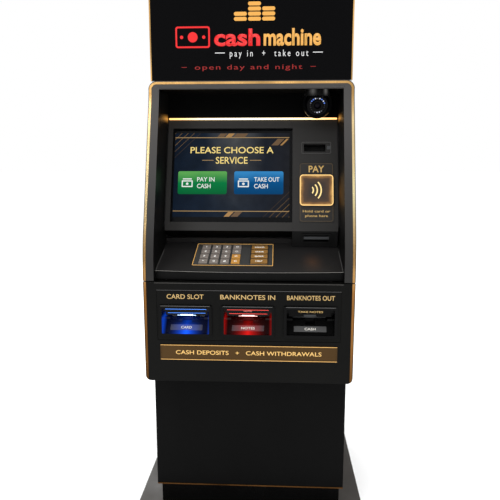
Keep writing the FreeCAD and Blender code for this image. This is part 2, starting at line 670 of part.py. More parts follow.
def make_contact_reader():
    x = (COLUMN_CENTRE - READER_WIDTH / 2, COLUMN_CENTRE + READER_WIDTH / 2)
    plate = slab(rectangle(x, (READER_LOW, READER_LOW + READER_HEIGHT), 5), (0, 1.5))
    pad_x = (x[0] + 0.5, x[1] - 0.5)
    pad_y = (PAD_LOW, PAD_LOW + PAD_SIZE)
    pad = slab(rectangle(pad_x, pad_y, PAD_CORNER), (1.5, 6))
    dish = slab(rectangle((pad_x[0] + 3, pad_x[1] - 3), (pad_y[0] + 3, pad_y[1] - 3), PAD_CORNER - 3),
                (4.6, 7))
    save("contact_reader", seat(fuse(plate, pad.cut(dish)), PANEL))


def make_led_strip():
    half = PANEL_RIGHT - 1
    low, high = PANEL_HALF - 1 - LED_HEIGHT, PANEL_HALF - 1
    bar = slab(rectangle((-half, half), (low, high), 1), (TOUCH, LED_PROUD))
    foot = slab(rectangle((-half, half), (low + 1, high - 1)), (0, 1))
    save("led_strip", seat(fuse(bar, foot), PANEL))


# ---- shelf and keypad ---------------------------------------------------------------------

KEYPAD_X = (KEYPAD_CENTRE - KEYPAD_WIDTH / 2, KEYPAD_CENTRE + KEYPAD_WIDTH / 2)
KEYPAD_Y = (KEYPAD_NEAR, KEYPAD_NEAR + KEYPAD_LENGTH)
GRID_X = KEYPAD_X[0] + 24.8
GRID_Y = KEYPAD_NEAR + KEYPAD_LENGTH / 2
FUNCTION_X = KEYPAD_X[1] - 13.5 - FUNCTION_KEY_WIDTH / 2


def make_shelf():
    half = CHEEK_IN
    short = SHELF_SHORT
    far = SHELF_LENGTH + RISER_THICK
    chord = Part.Arc(V(half, 0, 0), V(0, -SHELF_BOW, 0), V(-half, 0, 0)).toShape()
    step = COLUMN_LEFT - TOUCH
    corners = [V(-half, 0, 0), V(-half, far, 0), V(step, far, 0), V(step, short, 0), V(half, short, 0),
               V(half, 0, 0)]
    deck = Part.Face(Part.Wire([chord, Part.makePolygon(corners)])).extrude(V(0, 0, -SHELF_THICK))
    deck = seat(deck, SHELF)
    riser = seat(block((-half, step), (SHELF_LENGTH, far), (0, RISER_HEIGHT)), SHELF)
    front = FASCIA_Y + SHELF_SETBACK
    lip_arc = Part.Arc(V(half, front, 0), V(0, front - SHELF_BOW, 0), V(-half, front, 0)).toShape()
    lip_line = Part.makePolygon([V(-half, front, 0), V(-half, front + 4, 0), V(half, front + 4, 0),
                                 V(half, front, 0)])
    lip = Part.Face(Part.Wire([lip_arc, lip_line])).extrude(V(0, 0, SHELF_RISE + 8))
    lip.translate(V(0, 0, UPPER_LOW))
    above = seat(block((-half - 1, half + 1), (-50, 60), (0, 60)), SHELF)
    shelf = fuse(deck, riser, lip.cut(above))
    well = slab(rectangle((KEYPAD_X[0] + 3 - TOUCH, KEYPAD_X[1] - 3 + TOUCH),
                          (KEYPAD_Y[0] + 3 - TOUCH, KEYPAD_Y[1] - 3 + TOUCH)), (-SHELF_THICK - 1, 1))
    save("shelf", shelf.cut(seat(well, SHELF)))


def key_places():
    """Name, centre and size of every key, row by row from the far edge."""
    places = []
    for row in range(4):
        y = GRID_Y + (1.5 - row) * KEY_PITCH
        for column in range(4):
            name = f"key_{row + 1}{column + 1}"
            places.append((name, GRID_X + column * KEY_PITCH, y, KEY_WIDTH, KEY_LENGTH))
    for row in range(4):
        y = GRID_Y + (1.5 - row) * FUNCTION_KEY_PITCH
        places.append((f"function_key_{row + 1}", FUNCTION_X, y, FUNCTION_KEY_WIDTH, FUNCTION_KEY_LENGTH))
    return places


def make_keypad():
    border = slab(rectangle(KEYPAD_X, KEYPAD_Y, 3), (TOUCH / 3, KEYPAD_PROUD + 0.6))
    border = border.cut(slab(rectangle((KEYPAD_X[0] + 1.6, KEYPAD_X[1] - 1.6),
                                       (KEYPAD_Y[0] + 1.6, KEYPAD_Y[1] - 1.6), 2), (0, 10)))
    top = slab(rectangle((KEYPAD_X[0] + 1, KEYPAD_X[1] - 1), (KEYPAD_Y[0] + 1, KEYPAD_Y[1] - 1), 2),
               (0, KEYPAD_PROUD))
    tray = block((KEYPAD_X[0] + 3, KEYPAD_X[1] - 3), (KEYPAD_Y[0] + 3, KEYPAD_Y[1] - 3), (-KEYPAD_TRAY, 0))
    hollow = block((KEYPAD_X[0] + 5, KEYPAD_X[1] - 5), (KEYPAD_Y[0] + 5, KEYPAD_Y[1] - 5),
                   (-KEYPAD_TRAY + 2, 0))
    frame = fuse(border, top, tray.cut(hollow))
    for name, x, y, width, length in key_places():
        well = block((x - width / 2 - KEY_GAP, x + width / 2 + KEY_GAP),
                     (y - length / 2 - KEY_GAP, y + length / 2 + KEY_GAP), (-1, KEYPAD_PROUD + 1))
        frame = frame.cut(well)
        key = slab(rectangle((x - width / 2, x + width / 2), (y - length / 2, y + length / 2), 1.2),
                   (-TOUCH, KEY_PROUD))
        crown = [e for e in key.Edges if e.BoundBox.ZMin > KEY_PROUD - 0.01]
        key = key.makeFillet(0.8, crown)
        flange = block((x - width / 2 - KEY_FLANGE, x + width / 2 + KEY_FLANGE),
                       (y - length / 2, y + length / 2), (-TOUCH - 1.5, -TOUCH))
        save(name, seat(fuse(key, flange), SHELF))
    save("keypad_frame", seat(frame, SHELF))


# ---- slot modules -------------------------------------------------------------------------

def slot_module(x, shutter):
    """Card, note or cash module: frame, throat, stepped upper plates, mouth with a thumb notch, lip."""
    half_w, half_h = SLOT_MOUTH_WIDTH / 2, SLOT_MOUTH_HEIGHT / 2
    back = SLOT_DEPTH - SLOT_BACK_WALL
    frame = slab(rectangle((-SLOT_FRAME_WIDTH / 2, SLOT_FRAME_WIDTH / 2),
                           (-SLOT_FRAME_HEIGHT / 2, SLOT_FRAME_HEIGHT / 2), 4), (-FIELD_DEPTH, SLOT_PROUD))
    throat = block((-half_w - SLOT_WALL, half_w + SLOT_WALL), (-half_h - SLOT_WALL, half_h + SLOT_WALL),
                   (-SLOT_DEPTH, 0))
    module = fuse(frame, throat)
    module = module.cut(slab(rectangle((-half_w, half_w), (-half_h, half_h), 2), (-back, 10)))
    brow = block((-half_w, half_w), (half_h - 11, half_h), (-back, -12))
    step = block((-half_w + 6, half_w - 6), (GAP_HEIGHT / 2 + 3, half_h - 11), (-back, -20))
    lip_high = 3 - GAP_HEIGHT / 2
    lip = along_x(sharp([(lip_high, -30), (lip_high, -back), (-half_h, -back), (-half_h, -6)]),
                  (-half_w, half_w))
    label = along_x(sharp([(lip_high - 4, -27.5), (lip_high - 4, -32), (-half_h + 3, -12),
                           (-half_h + 3, -7.0)]), (-GAP_HALF + 2, GAP_HALF - 2))
    wings = [block(side, (lip_high, lip_high + 5), (-back, -26))
             for side in ((-half_w, -GAP_HALF), (GAP_HALF, half_w))]
    notch = slab([(-16, 14, 0), (16, 14, 0), (11, -12, 0), (-11, -12, 0)], (-back + 3, 5))
    module = fuse(module, brow, fuse(step, lip, label, *wings).cut(notch))
    module = module.cut(block((-GAP_HALF + 2, GAP_HALF - 2), (lip_high + 1, lip_high + GAP_HEIGHT - 1),
                              (-SLOT_DEPTH - 1, 0)))
    if shutter:
        rails = [block(side, (-10, 24), (-SLOT_DEPTH - 4, -SLOT_DEPTH)) for side in
                 ((-GAP_HALF - 5, -GAP_HALF - 2 - TOUCH), (GAP_HALF + 2 + TOUCH, GAP_HALF + 5))]
        module = fuse(module, *rails)
    return seat(module, FreeCAD.Placement(V(x, FASCIA_Y, SLOT_Z), FreeCAD.Rotation(V(1, 0, 0), 90)))


def make_slot_modules():
    names = ("card_bezel", "note_bezel", "cash_bezel")
    for name, x in zip(names, slot_centres()):
        save(name, slot_module(x, name == "cash_bezel"))
    gate = block((-GAP_HALF - 2, GAP_HALF + 2), (-5.5, 10), (-SLOT_DEPTH - 2.5, -SLOT_DEPTH - TOUCH))
    save("cash_shutter", seat(gate, FreeCAD.Placement(V(CASH_X, FASCIA_Y, SLOT_Z),
                                                      FreeCAD.Rotation(V(1, 0, 0), 90))))


def make_name_plate():
    half = NAME_PLATE_WIDTH / 2
    low, high = NAME_PLATE_RISE, NAME_PLATE_RISE + NAME_PLATE_HEIGHT
    plate = slab(rectangle((-half, half), (low, high), 2), (0, NAME_PLATE_THICK))
    dish = slab(rectangle((-half + 2, half - 2), (low + 2.5, high - 2.5)), (NAME_PLATE_THICK - 0.8, 5))
    save("name_plate", seat(plate.cut(dish), FACE))


# ---- camera and topper --------------------------------------------------------------------

def make_camera():
    c = CAMERA_CENTRE
    sphere = Part.makeSphere
    bottom = CEILING - CAMERA_MOUNT_HEIGHT
    collar_top = CEILING - 6
    bearing = CAMERA_BEARING
    dome = Part.makeCone(CAMERA_YOKE - 0.5, bearing + CAMERA_MOUNT_WALL, CAMERA_MOUNT_HEIGHT,
                         V(c.x, c.y, bottom))
    bore = rod(bearing + PIN_CLEARANCE, (c.x, c.y, bottom - 1), (c.x, c.y, CEILING + 1))
    save("camera_mount", dome.cut(bore))

    shell = sphere(CAMERA_YOKE, c)
    shell = shell.cut(block((c.x - 50, c.x + 50), (c.y - 50, c.y + 50), (bottom - TOUCH, c.z + 60)))
    shell = shell.cut(block((c.x - 50, c.x + 50), (c.y - 60, c.y - 8), (c.z - 60, c.z + 60)))
    collar = rod(bearing, (c.x, c.y, c.z + 6), (c.x, c.y, collar_top))
    shell = shell.fuse(collar).cut(sphere(CAMERA_BALL + TOUCH, c))
    window = along_x(sharp([(c.y, c.z), (c.y - 60, c.z + 12), (c.y - 60, c.z - 60)]),
                     (c.x - CAMERA_BALL + 4, c.x + CAMERA_BALL - 4))
    pivot = CAMERA_YOKE - 1.0
    shell = cut(shell, window, rod(PIN_RADIUS + PIN_CLEARANCE, (c.x - 50, c.y, c.z), (c.x + 50, c.y, c.z)))
    save("camera_yoke", shell)

    ball = sphere(CAMERA_BALL, c)
    view = FreeCAD.Placement(c, FreeCAD.Rotation(V(1, 0, 0), 90 + CAMERA_TILT))
    flat = seat(rod(60, (0, 0, CAMERA_FACE), (0, 0, 60)), view)
    lamp_ring = seat(ring(21.5, 14.5, (0, 0, CAMERA_FACE - 2), (0, 0, CAMERA_FACE + 5)), view)
    barrel = seat(ring(12.5, 9.0, (0, 0, CAMERA_FACE - 1), (0, 0, CAMERA_FACE + 2.5)), view)
    lens_dish = seat(sphere(9.0, V(0, 0, CAMERA_FACE + 3)), view)
    pins = rod(PIN_RADIUS, (c.x - pivot, c.y, c.z), (c.x + pivot, c.y, c.z))
    ball = fuse(ball.cut(flat).cut(lamp_ring), barrel).cut(lens_dish)
    save("camera_ball", fuse(ball, pins))


def make_topper():
    half = TOPPER_WIDTH / 2
    wall = TOPPER_WALL
    top = UPPER_TOP + TOPPER_HEIGHT
    body = block((-half, half), (HOOD_Y, HOOD_Y + TOPPER_DEPTH), (UPPER_TOP, top))
    inside = block((-half + wall, half - wall), (HOOD_Y - 1, HOOD_Y + TOPPER_DEPTH - wall),
                   (UPPER_TOP + wall, top - wall))
    lamps = [rod(8, (-half + wall, HOOD_Y + 60, z), (half - wall, HOOD_Y + 60, z))
             for z in (UPPER_TOP + TOPPER_HEIGHT * 0.3, UPPER_TOP + TOPPER_HEIGHT * 0.7)]
    vents = [block((-60 + 20 * n, -52 + 20 * n), (HOOD_Y + TOPPER_DEPTH - 5, HOOD_Y + TOPPER_DEPTH + 1),
                   (top - 60, top - 25)) for n in range(7)]
    save("topper_box", fuse(cut(body, inside, *vents), *lamps))
    face = block((-half + wall, half - wall), (HOOD_Y, HOOD_Y + TOPPER_FACE_THICK),
                 (UPPER_TOP + wall, top - wall))
    save("topper_face", face)


# ---- console frame and what it holds ------------------------------------------------------

SERVICE_X = -(CHEEK_IN - SERVICE_RIM)
SERVICE_Z = (CABINET_TOP + SERVICE_SILL, CHEEK_TOP - SERVICE_RIM)
SERVICE_HINGES = (SERVICE_Z[0] + 50, SERVICE_Z[1] - 50 - 2 * KNUCKLE)
INLET_Z = CABINET_TOP + SERVICE_SILL / 2


def make_console_frame():
    sheet = FRAME_SHEET
    deck_end = on(SHELF, SHELF_LENGTH + RISER_THICK + 8, -SHELF_THICK)
    shelf_start = on(SHELF, 21.0, -SHELF_THICK)
    roof = UPPER_TOP - CONSOLE_WALL
    side_line = sharp([
        (FRAME_FRONT, CABINET_TOP), (FRAME_FRONT, shelf_start[1]), shelf_start, deck_end,
        (deck_end[0], deck_end[1] + 24), on(PANEL, -PANEL_HALF + 12, -PANEL_THICK),
        on(PANEL, (CEILING - PANEL.Base.z) / math.cos(math.radians(PANEL_LEAN)), -PANEL_THICK),
        (CEILING_BACK + 8, CEILING + 4), (CEILING_BACK + 8, roof), (FRAME_BACK, roof),
        (FRAME_BACK, CABINET_TOP),
    ])
    right = along_x(side_line, (CHEEK_IN - sheet, CHEEK_IN))
    left = right.mirror(V(0, 0, 0), V(1, 0, 0))
    span = (-CHEEK_IN + sheet, CHEEK_IN - sheet)
    floor = block(span, (FRAME_FRONT, FRAME_BACK), (CABINET_TOP, CABINET_TOP + sheet))
    tray = block(span, (FRAME_FRONT + 4, FRAME_BACK - 90), (TRAY_Z, TRAY_Z + sheet))
    path = note_path((CABINET_TOP - 1, TRAY_Z + sheet + 1), PATH_CLEARANCE)
    bracket = block((COLUMN_LEFT + 4, CHEEK_IN - sheet), (PRINTER_Y, PRINTER_Y + PRINTER_DEPTH),
                    (PRINTER_Z - sheet, PRINTER_Z))
    rear = block((-CHEEK_IN, CHEEK_IN), (FRAME_BACK, BACK), (CABINET_TOP, CHEEK_TOP))
    skirt = CONSOLE_HALF - FASCIA_WALL - TOUCH
    rear = rear.fuse(block((-skirt, skirt), (FRAME_BACK, BACK),
                           (FASCIA_LOW + FASCIA_WALL + FASCIA_CORNER, SEAM - FASCIA_WALL - TOUCH)))
    rear = rear.cut(block((SERVICE_X, -SERVICE_X), (FRAME_BACK - 1, BACK + 1), SERVICE_Z))
    hole_x, hole_z = INLET_SIZE[0] / 2 + 0.1, INLET_SIZE[1] / 2 + 0.1
    rear = rear.cut(block((INLET_X - hole_x, INLET_X + hole_x), (FRAME_BACK - 1, BACK + 1),
                          (INLET_Z - hole_z, INLET_Z + hole_z)))
    frame = fuse(right, left, cut(floor, path), cut(tray, path), bracket, rear)
    for z in SERVICE_HINGES:
        frame = frame.fuse(knuckle_pair(SERVICE_X, HINGE_Y, z)[0])
    save("console_frame", frame.removeSplitter())


def make_service_door():
    x = (SERVICE_X + DOOR_GAP, -SERVICE_X - DOOR_GAP)
    z = (SERVICE_Z[0] + DOOR_GAP, SERVICE_Z[1] - DOOR_GAP)
    door = door_pan(x, z, SERVICE_PAN)
    for at in SERVICE_HINGES:
        door = door.fuse(knuckle_pair(SERVICE_X, HINGE_Y, at)[1])
    for row in range(8):
        low = SERVICE_Z[0] + 50 + 16 * row
        for centre in (-80, 80):
            door = door.cut(block((centre - 55, centre + 55), (BACK - 5, BACK + 1), (low, low + 6)))
    grille = rod(FAN_RADIUS, (0, BACK - 10, FAN_Z), (0, BACK + 1, FAN_Z))
    for radius in (12.0, 24.0, 36.0, 48.0):
        grille = grille.cut(ring(radius + 1.5, radius - 1.5, (0, BACK - 11, FAN_Z), (0, BACK + 2, FAN_Z)))
    spokes = fuse(block((-FAN_RADIUS, FAN_RADIUS), (BACK - 11, BACK + 2), (FAN_Z - 2, FAN_Z + 2)),
                  block((-2, 2), (BACK - 11, BACK + 2), (FAN_Z - FAN_RADIUS, FAN_Z + FAN_RADIUS)))
    door = door.cut(cut(grille, spokes, rod(13, (0, BACK - 11, FAN_Z), (0, BACK + 2, FAN_Z))))
    depth = (BACK - DOOR_SKIN - FAN_THICK, BACK - DOOR_SKIN)
    half = FAN_RADIUS + 6
    housing = block((-half, half), depth, (FAN_Z - half, FAN_Z + half))
    housing = housing.cut(rod(FAN_RADIUS + 1.5, (0, depth[0] - 1, FAN_Z), (0, depth[1] + 1, FAN_Z)))
    axle = rod(3.0, (0, depth[0] + 2, FAN_Z), (0, depth[1], FAN_Z))
    door = door.fuse(housing).fuse(axle)
    door = door.cut(rod(SPINDLE_RADIUS + PIN_CLEARANCE, (LOCK_KEY_X, BACK - 10, LOCK_KEY_Z),
                        (LOCK_KEY_X, BACK + 1, LOCK_KEY_Z)))
    save("service_door", door.removeSplitter())


FAN_Z = SERVICE_Z[1] - FAN_DROP
LOCK_KEY_X = -SERVICE_X - 26.0
LOCK_KEY_Z = (SERVICE_Z[0] + SERVICE_Z[1]) / 2


def make_service_lock():
    x, z = LOCK_KEY_X, LOCK_KEY_Z
    behind = BACK - SERVICE_PAN
    barrel = rod(SPINDLE_RADIUS, (x, behind - 4, z), (x, BACK + 3, z))
    cap = rod(10.0, (x, BACK + TOUCH, z), (x, BACK + 3, z))
    keyway = block((x - 0.9, x + 0.9), (BACK - 4, BACK + 4), (z - 4, z + 4))
    tongue = block((x - 5, x + 5), (behind - 4, behind - 1), (z - 6, z + SERVICE_RIM + 16))
    save("service_lock", fuse(barrel, cap, tongue).cut(keyway))


def make_cooling_fan():
    y = (BACK - DOOR_SKIN - FAN_THICK + 4, BACK - DOOR_SKIN - 3)
    hub = rod(18.0, (0, y[0], FAN_Z), (0, y[1], FAN_Z))
    blades = []
    for n in range(7):
        blade = block((10, FAN_RADIUS - 1), (-1, 1), (-9, 9))
        blade.rotate(V(0, 0, 0), V(1, 0, 0), 38)
        blade.rotate(V(0, 0, 0), V(0, 1, 0), 360 / 7 * n)
        blade.translate(V(0, (y[0] + y[1]) / 2, FAN_Z))
        blades.append(blade)
    rotor = fuse(hub, *blades).cut(rod(3.0 + PIN_CLEARANCE, (0, y[0] - 1, FAN_Z), (0, y[1] + 1, FAN_Z)))
    save("cooling_fan", rotor)


def make_power_inlet():
    half_x, half_z = INLET_SIZE[0] / 2, INLET_SIZE[1] / 2
    flange = along_y(rectangle((INLET_X - 25, INLET_X + 25), (INLET_Z - 13, INLET_Z + 13), 4),
                     (BACK, BACK + 2.5))
    body = block((INLET_X - half_x, INLET_X + half_x), (BACK - 28, BACK),
                 (INLET_Z - half_z, INLET_Z + half_z))
    socket = block((INLET_X - half_x + 2, INLET_X + half_x - 2), (BACK - 18, BACK + 3),
                   (INLET_Z - half_z + 2, INLET_Z + half_z - 2))
    blades = [block((INLET_X + x - 1, INLET_X + x + 1), (BACK - 18, BACK - 2),
                    (INLET_Z + z - 3, INLET_Z + z + 3))
              for x, z in ((-7, -2), (0, 3), (7, -2))]
    save("power_inlet", fuse(fuse(flange, body).cut(socket), *blades))


def make_devices():
    behind = FASCIA_Y + SLOT_DEPTH + TOUCH
    card_x, note_x, cash_x = slot_centres()
    floor = TRAY_Z + FRAME_SHEET
    top = SLOT_Z + SLOT_MOUTH_HEIGHT / 2

    def mouth(x, half, y):
        return block((x - half, x + half), y, (SLOT_Z - 2, SLOT_Z + 5))

    reader = block((card_x - 48, card_x + 48), (behind, behind + 180), (floor, top))
    save("card_reader", reader.cut(mouth(card_x, 29, (behind - 1, behind + 110))))
    acceptor = fuse(block((note_x - 56, note_x + 56), (behind, behind + 120), (floor, top)),
                    block((note_x - 50, note_x + 50), (behind + 120, behind + 260), (floor, top + 40)))
    save("note_acceptor", acceptor.cut(mouth(note_x, GAP_HALF - 1, (behind - 1, behind + 90))))
    base = CABINET_LOW + CABINET_WALL
    left = cash_x + NOTE_PATH_WIDTH / 2 + 14 - DISPENSER_WIDTH
    right = left + DISPENSER_WIDTH
    unit_y = (FRONT + 60, BACK - 90)
    unit_top = base + DISPENSER_HEIGHT
    unit = block((left, right), unit_y, (base, unit_top))
    bay_z = (base + 20, base + 20 + CASSETTE_HEIGHT)
    bay = block((left + 10, right - 10), (unit_y[0] + 60, unit_y[1] + 1), (bay_z[0], bay_z[1] + 1))
    neck = note_path((unit_top - 60, top), 0)
    head = block((CASH_X - NOTE_PATH_WIDTH / 2, CASH_X + NOTE_PATH_WIDTH / 2), (behind + 4.5, FRONT + 20),
                 (floor + 10, top))
    throat = mouth(cash_x, GAP_HALF - 1, (behind, FRONT + 60))
    save("cash_dispenser", cut(fuse(unit, neck, head), bay, throat))
    cassette = block((left + 11, right - 11), (unit_y[0] + 62, unit_y[1] + 4), bay_z)
    grip = block((left + 50, right - 50), (unit_y[1] - 14, unit_y[1] + 5), (base + 60, base + 92))
    save("cash_cassette", cassette.cut(grip))
    pc_y = (BACK - 350, BACK - 80)
    case = block((-200, -20), pc_y, (CABINET_TOP + FRAME_SHEET, TRAY_Z - 6))
    slots = [block((-190, -30), (pc_y[1] - 2, pc_y[1] + 1),
                   (CABINET_TOP + 14 + 9 * n, CABINET_TOP + 17 + 9 * n)) for n in range(8)]
    save("computer", cut(case, *slots))


PRINTER_Y = COLUMN_FOOT[0] + PRINTER_SETBACK
PRINTER_Z = UPPER_LOW + PRINTER_RISE
ROLL_Y = PRINTER_Y + PRINTER_ENGINE + ROLL_GAP + ROLL_RADIUS
ROLL_Z = PRINTER_Z + PRINTER_BED + ROLL_GAP + ROLL_RADIUS


def make_receipt_printer():
    half = ROLL_WIDTH / 2 + TOUCH
    x = (COLUMN_CENTRE - half - 4, COLUMN_CENTRE + half + 4)
    bed = block(x, (PRINTER_Y, PRINTER_Y + PRINTER_DEPTH), (PRINTER_Z, PRINTER_Z + PRINTER_BED))
    engine = block(x, (PRINTER_Y, PRINTER_Y + PRINTER_ENGINE), (PRINTER_Z, PRINTER_Z + 52))
    arms = [block(side, (ROLL_Y - 14, ROLL_Y + 14), (PRINTER_Z, ROLL_Z + 14))
            for side in ((x[0], x[0] + 4), (x[1] - 4, x[1]))]
    spindle = rod(ROLL_BORE, (x[0], ROLL_Y, ROLL_Z), (x[1], ROLL_Y, ROLL_Z))
    snout = outlet(0, (-14, 2.5))
    mouth = outlet(-OUTLET_RIM, (-12, 3))
    bar = outlet(-OUTLET_RIM, (-8, 1.5))
    low = seat(block((-500, 500), (OUTLET_MIDDLE - 3, OUTLET_MIDDLE + 5), (-30, 30)), UNDER)
    link = block((COLUMN_CENTRE - 30, COLUMN_CENTRE + 30), (COLUMN_FOOT[0] + 6, PRINTER_Y + 1),
                 (PRINTER_Z + 6, PRINTER_Z + 26))
    save("receipt_printer", fuse(bed, engine, *arms, spindle, snout.cut(mouth), bar.common(low),
                                 link.cut(outlet(3, (-12, 40)))))
    roll = ring(ROLL_RADIUS, ROLL_BORE + PIN_CLEARANCE, (COLUMN_CENTRE - ROLL_WIDTH / 2, ROLL_Y, ROLL_Z),
                (COLUMN_CENTRE + ROLL_WIDTH / 2, ROLL_Y, ROLL_Z))
    save("paper_roll", roll)


# ---- build --------------------------------------------------------------------------------

def build():
    make_floor_base()
    make_cabinet_shell()
    make_vault_door()
    make_vault_handle()
    make_vault_lock_dial()
    make_vault_bolts()
    make_lower_fascia()
    make_cheek(-1)
    make_cheek(1)
    make_hood_cover()
    make_gold_trim_strips()
    make_screen_bezel()
    make_display_module()
    make_control_column()
    make_contact_reader()
    make_led_strip()
    make_shelf()
    make_keypad()
    make_slot_modules()
    make_name_plate()
    make_camera()
    make_topper()
    make_console_frame()
    make_service_door()
    make_service_lock()
    make_cooling_fan()
    make_power_inlet()
    make_devices()
    make_receipt_printer()
    os.makedirs("parts", exist_ok=True)
    for name, shape in nodes.items():
        shape.exportStep(f"parts/{name}.step")
        solids = len(shape.Solids)
        print(f"{name}: {solids} solid(s), valid {shape.isValid()}, {shape.Volume / 1000:.1f} cm3")


build()
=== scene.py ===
import json
import math

import bmesh
import bpy
from mathutils import Matrix, Vector

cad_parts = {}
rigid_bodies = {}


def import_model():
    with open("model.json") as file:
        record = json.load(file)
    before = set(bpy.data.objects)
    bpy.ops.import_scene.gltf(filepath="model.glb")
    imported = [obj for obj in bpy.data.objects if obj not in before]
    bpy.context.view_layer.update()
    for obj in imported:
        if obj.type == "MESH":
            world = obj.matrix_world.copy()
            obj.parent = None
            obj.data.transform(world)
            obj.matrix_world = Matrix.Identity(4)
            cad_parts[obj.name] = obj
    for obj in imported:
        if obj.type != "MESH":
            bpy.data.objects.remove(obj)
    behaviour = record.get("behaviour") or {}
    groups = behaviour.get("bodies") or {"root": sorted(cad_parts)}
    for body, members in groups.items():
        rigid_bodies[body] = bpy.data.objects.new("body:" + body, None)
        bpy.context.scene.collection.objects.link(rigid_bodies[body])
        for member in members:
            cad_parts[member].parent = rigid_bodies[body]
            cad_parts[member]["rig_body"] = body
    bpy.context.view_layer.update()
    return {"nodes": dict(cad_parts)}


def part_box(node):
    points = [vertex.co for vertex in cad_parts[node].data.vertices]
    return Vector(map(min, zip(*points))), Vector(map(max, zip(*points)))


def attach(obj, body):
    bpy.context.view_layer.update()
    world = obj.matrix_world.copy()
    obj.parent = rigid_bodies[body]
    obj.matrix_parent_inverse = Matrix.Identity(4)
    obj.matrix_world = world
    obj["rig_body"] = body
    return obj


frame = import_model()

# A cash machine: materials for the CAD parts, and the printed, lit and fitted details on them.
# Metres, in the CAD's own frame: +X to the user's right, +Y away from the user, +Z up.

MM = 0.001
PANEL_TILT = 90 - 18.4          # turns flat drawings onto the screen wall
SHELF_TILT = 17.0               # and onto the shelf
UPRIGHT = 90.0                  # and onto upright fronts
OUTLET_TILT = 111.9             # and onto the underside of the panel, where receipts come out
SKIN = 0.15 * MM                # print stands this far off its surface
INK = 0.12 * MM                 # and is this thick
CAPITAL = 0.69                  # height of a capital in the built-in font at size 1

nodes = frame["nodes"]


# ---- materials ----------------------------------------------------------------------------

def linear(red, green, blue):
    """Screen colour from 0 to 255 as a linear colour."""
    channels = [c / 255 for c in (red, green, blue)]
    return [c / 12.92 if c < 0.04045 else ((c + 0.055) / 1.055) ** 2.4 for c in channels] + [1.0]


class Shader:
    """A node material round one Principled shader."""

    def __init__(self, name, color, rough, metal=0.0, specular=0.5):
        self.material = bpy.data.materials.new(name)
        self.material.use_nodes = True
        self.tree = self.material.node_tree
        self.main = self.tree.nodes["Principled BSDF"]
        self.color = color
        self.set("Base Color", color)
        self.set("Roughness", rough)
        self.set("Metallic", metal)
        self.set("Specular IOR Level", specular)
        self.place = self.add("ShaderNodeTexCoord").outputs["Object"]

    def add(self, kind, **values):
        node = self.tree.nodes.new(kind)
        for key, value in values.items():
            setattr(node, key, value)
        return node

    def set(self, socket, value):
        self.main.inputs[socket].default_value = value

    def link(self, output, target):
        self.tree.links.new(output, target)

    def stretched(self, scale):
        """Object coordinates stretched by a scale on each axis."""
        mapping = self.add("ShaderNodeMapping")
        mapping.inputs["Scale"].default_value = scale
        self.link(self.place, mapping.inputs["Vector"])
        return mapping.outputs["Vector"]

    def noise(self, scale, detail=4.0, where=None, rough=0.5):
        node = self.add("ShaderNodeTexNoise")
        node.inputs["Scale"].default_value = scale
        node.inputs["Detail"].default_value = detail
        node.inputs["Roughness"].default_value = rough
        self.link(where or self.place, node.inputs["Vector"])
        return node.outputs["Fac"]

    def ramp(self, value, stops):
        node = self.add("ShaderNodeValToRGB")
        elements = node.color_ramp.elements
        while len(elements) < len(stops):
            elements.new(0.5)
        for element, (at, color) in zip(elements, stops):
            element.position = at
            element.color = color
        self.link(value, node.inputs["Fac"])
        return node.outputs["Color"]

    def spread(self, value, low, high, start=0.0, end=1.0):
        """Maps start..end onto low..high."""
        node = self.add("ShaderNodeMapRange")
        for socket, number in zip(("From Min", "From Max", "To Min", "To Max"), (start, end, low, high)):
            node.inputs[socket].default_value = number
        self.link(value, node.inputs["Value"])
        return node.outputs["Result"]

    def math(self, operation, first, second=0.5):
        node = self.add("ShaderNodeMath", operation=operation)
        for socket, value in zip(node.inputs, (first, second)):
            if isinstance(value, (int, float)):
                socket.default_value = value
            else:
                self.link(value, socket)
        return node.outputs["Value"]

    def plus(self, first, second):
        return self.math("ADD", first, second)

    def times(self, first, second):
        return self.math("MULTIPLY", first, second)

    def off(self, value, centre):
        """How far a value is from a centre."""
        return self.math("ABSOLUTE", self.math("SUBTRACT", value, centre))

    def length(self, across, along):
        """Length of two offsets at right angles."""
        return self.math("SQRT", self.plus(self.times(across, across), self.times(along, along)))

    def fade(self, away, reach, power, strength):
        """Falls from a strength to nothing over a reach."""
        return self.times(self.math("POWER", self.spread(away, 1.0, 0.0, 0.0, reach), power), strength)

    def uneven(self, scale, low, high, detail=2.0, where=None):
        """Noise spread between two values."""
        return self.spread(self.noise(scale, detail, where), low, high, 0.3, 0.7)

    def mix(self, factor, first, second, blend="MIX"):
        node = self.add("ShaderNodeMix", data_type="RGBA", blend_type=blend)
        for socket, value in zip((node.inputs[0], node.inputs[6], node.inputs[7]), (factor, first, second)):
            if hasattr(value, "links"):
                self.link(value, socket)
            else:
                socket.default_value = value
        return node.outputs[2]

    def axis(self, name):
        node = self.add("ShaderNodeSeparateXYZ")
        self.link(self.place, node.inputs["Vector"])
        return node.outputs[name]

    def bump(self, height, strength, distance):
        node = self.add("ShaderNodeBump")
        node.inputs["Strength"].default_value = strength
        node.inputs["Distance"].default_value = distance
        self.link(height, node.inputs["Height"])
        self.link(node.outputs["Normal"], self.main.inputs["Normal"])

    def tint(self, output):
        self.link(output, self.main.inputs["Base Color"])

    def gloss(self, output):
        self.link(output, self.main.inputs["Roughness"])

    def glow(self, color, strength):
        """Light of its own: each is a value for the whole surface, or an output that varies over it."""
        for socket, value in (("Emission Color", color), ("Emission Strength", strength)):
            if hasattr(value, "links"):
                self.link(value, self.main.inputs[socket])
            else:
                self.set(socket, value)


def shade(color, factor):
    return [min(c * factor, 1.0) for c in color[:3]] + [1.0]


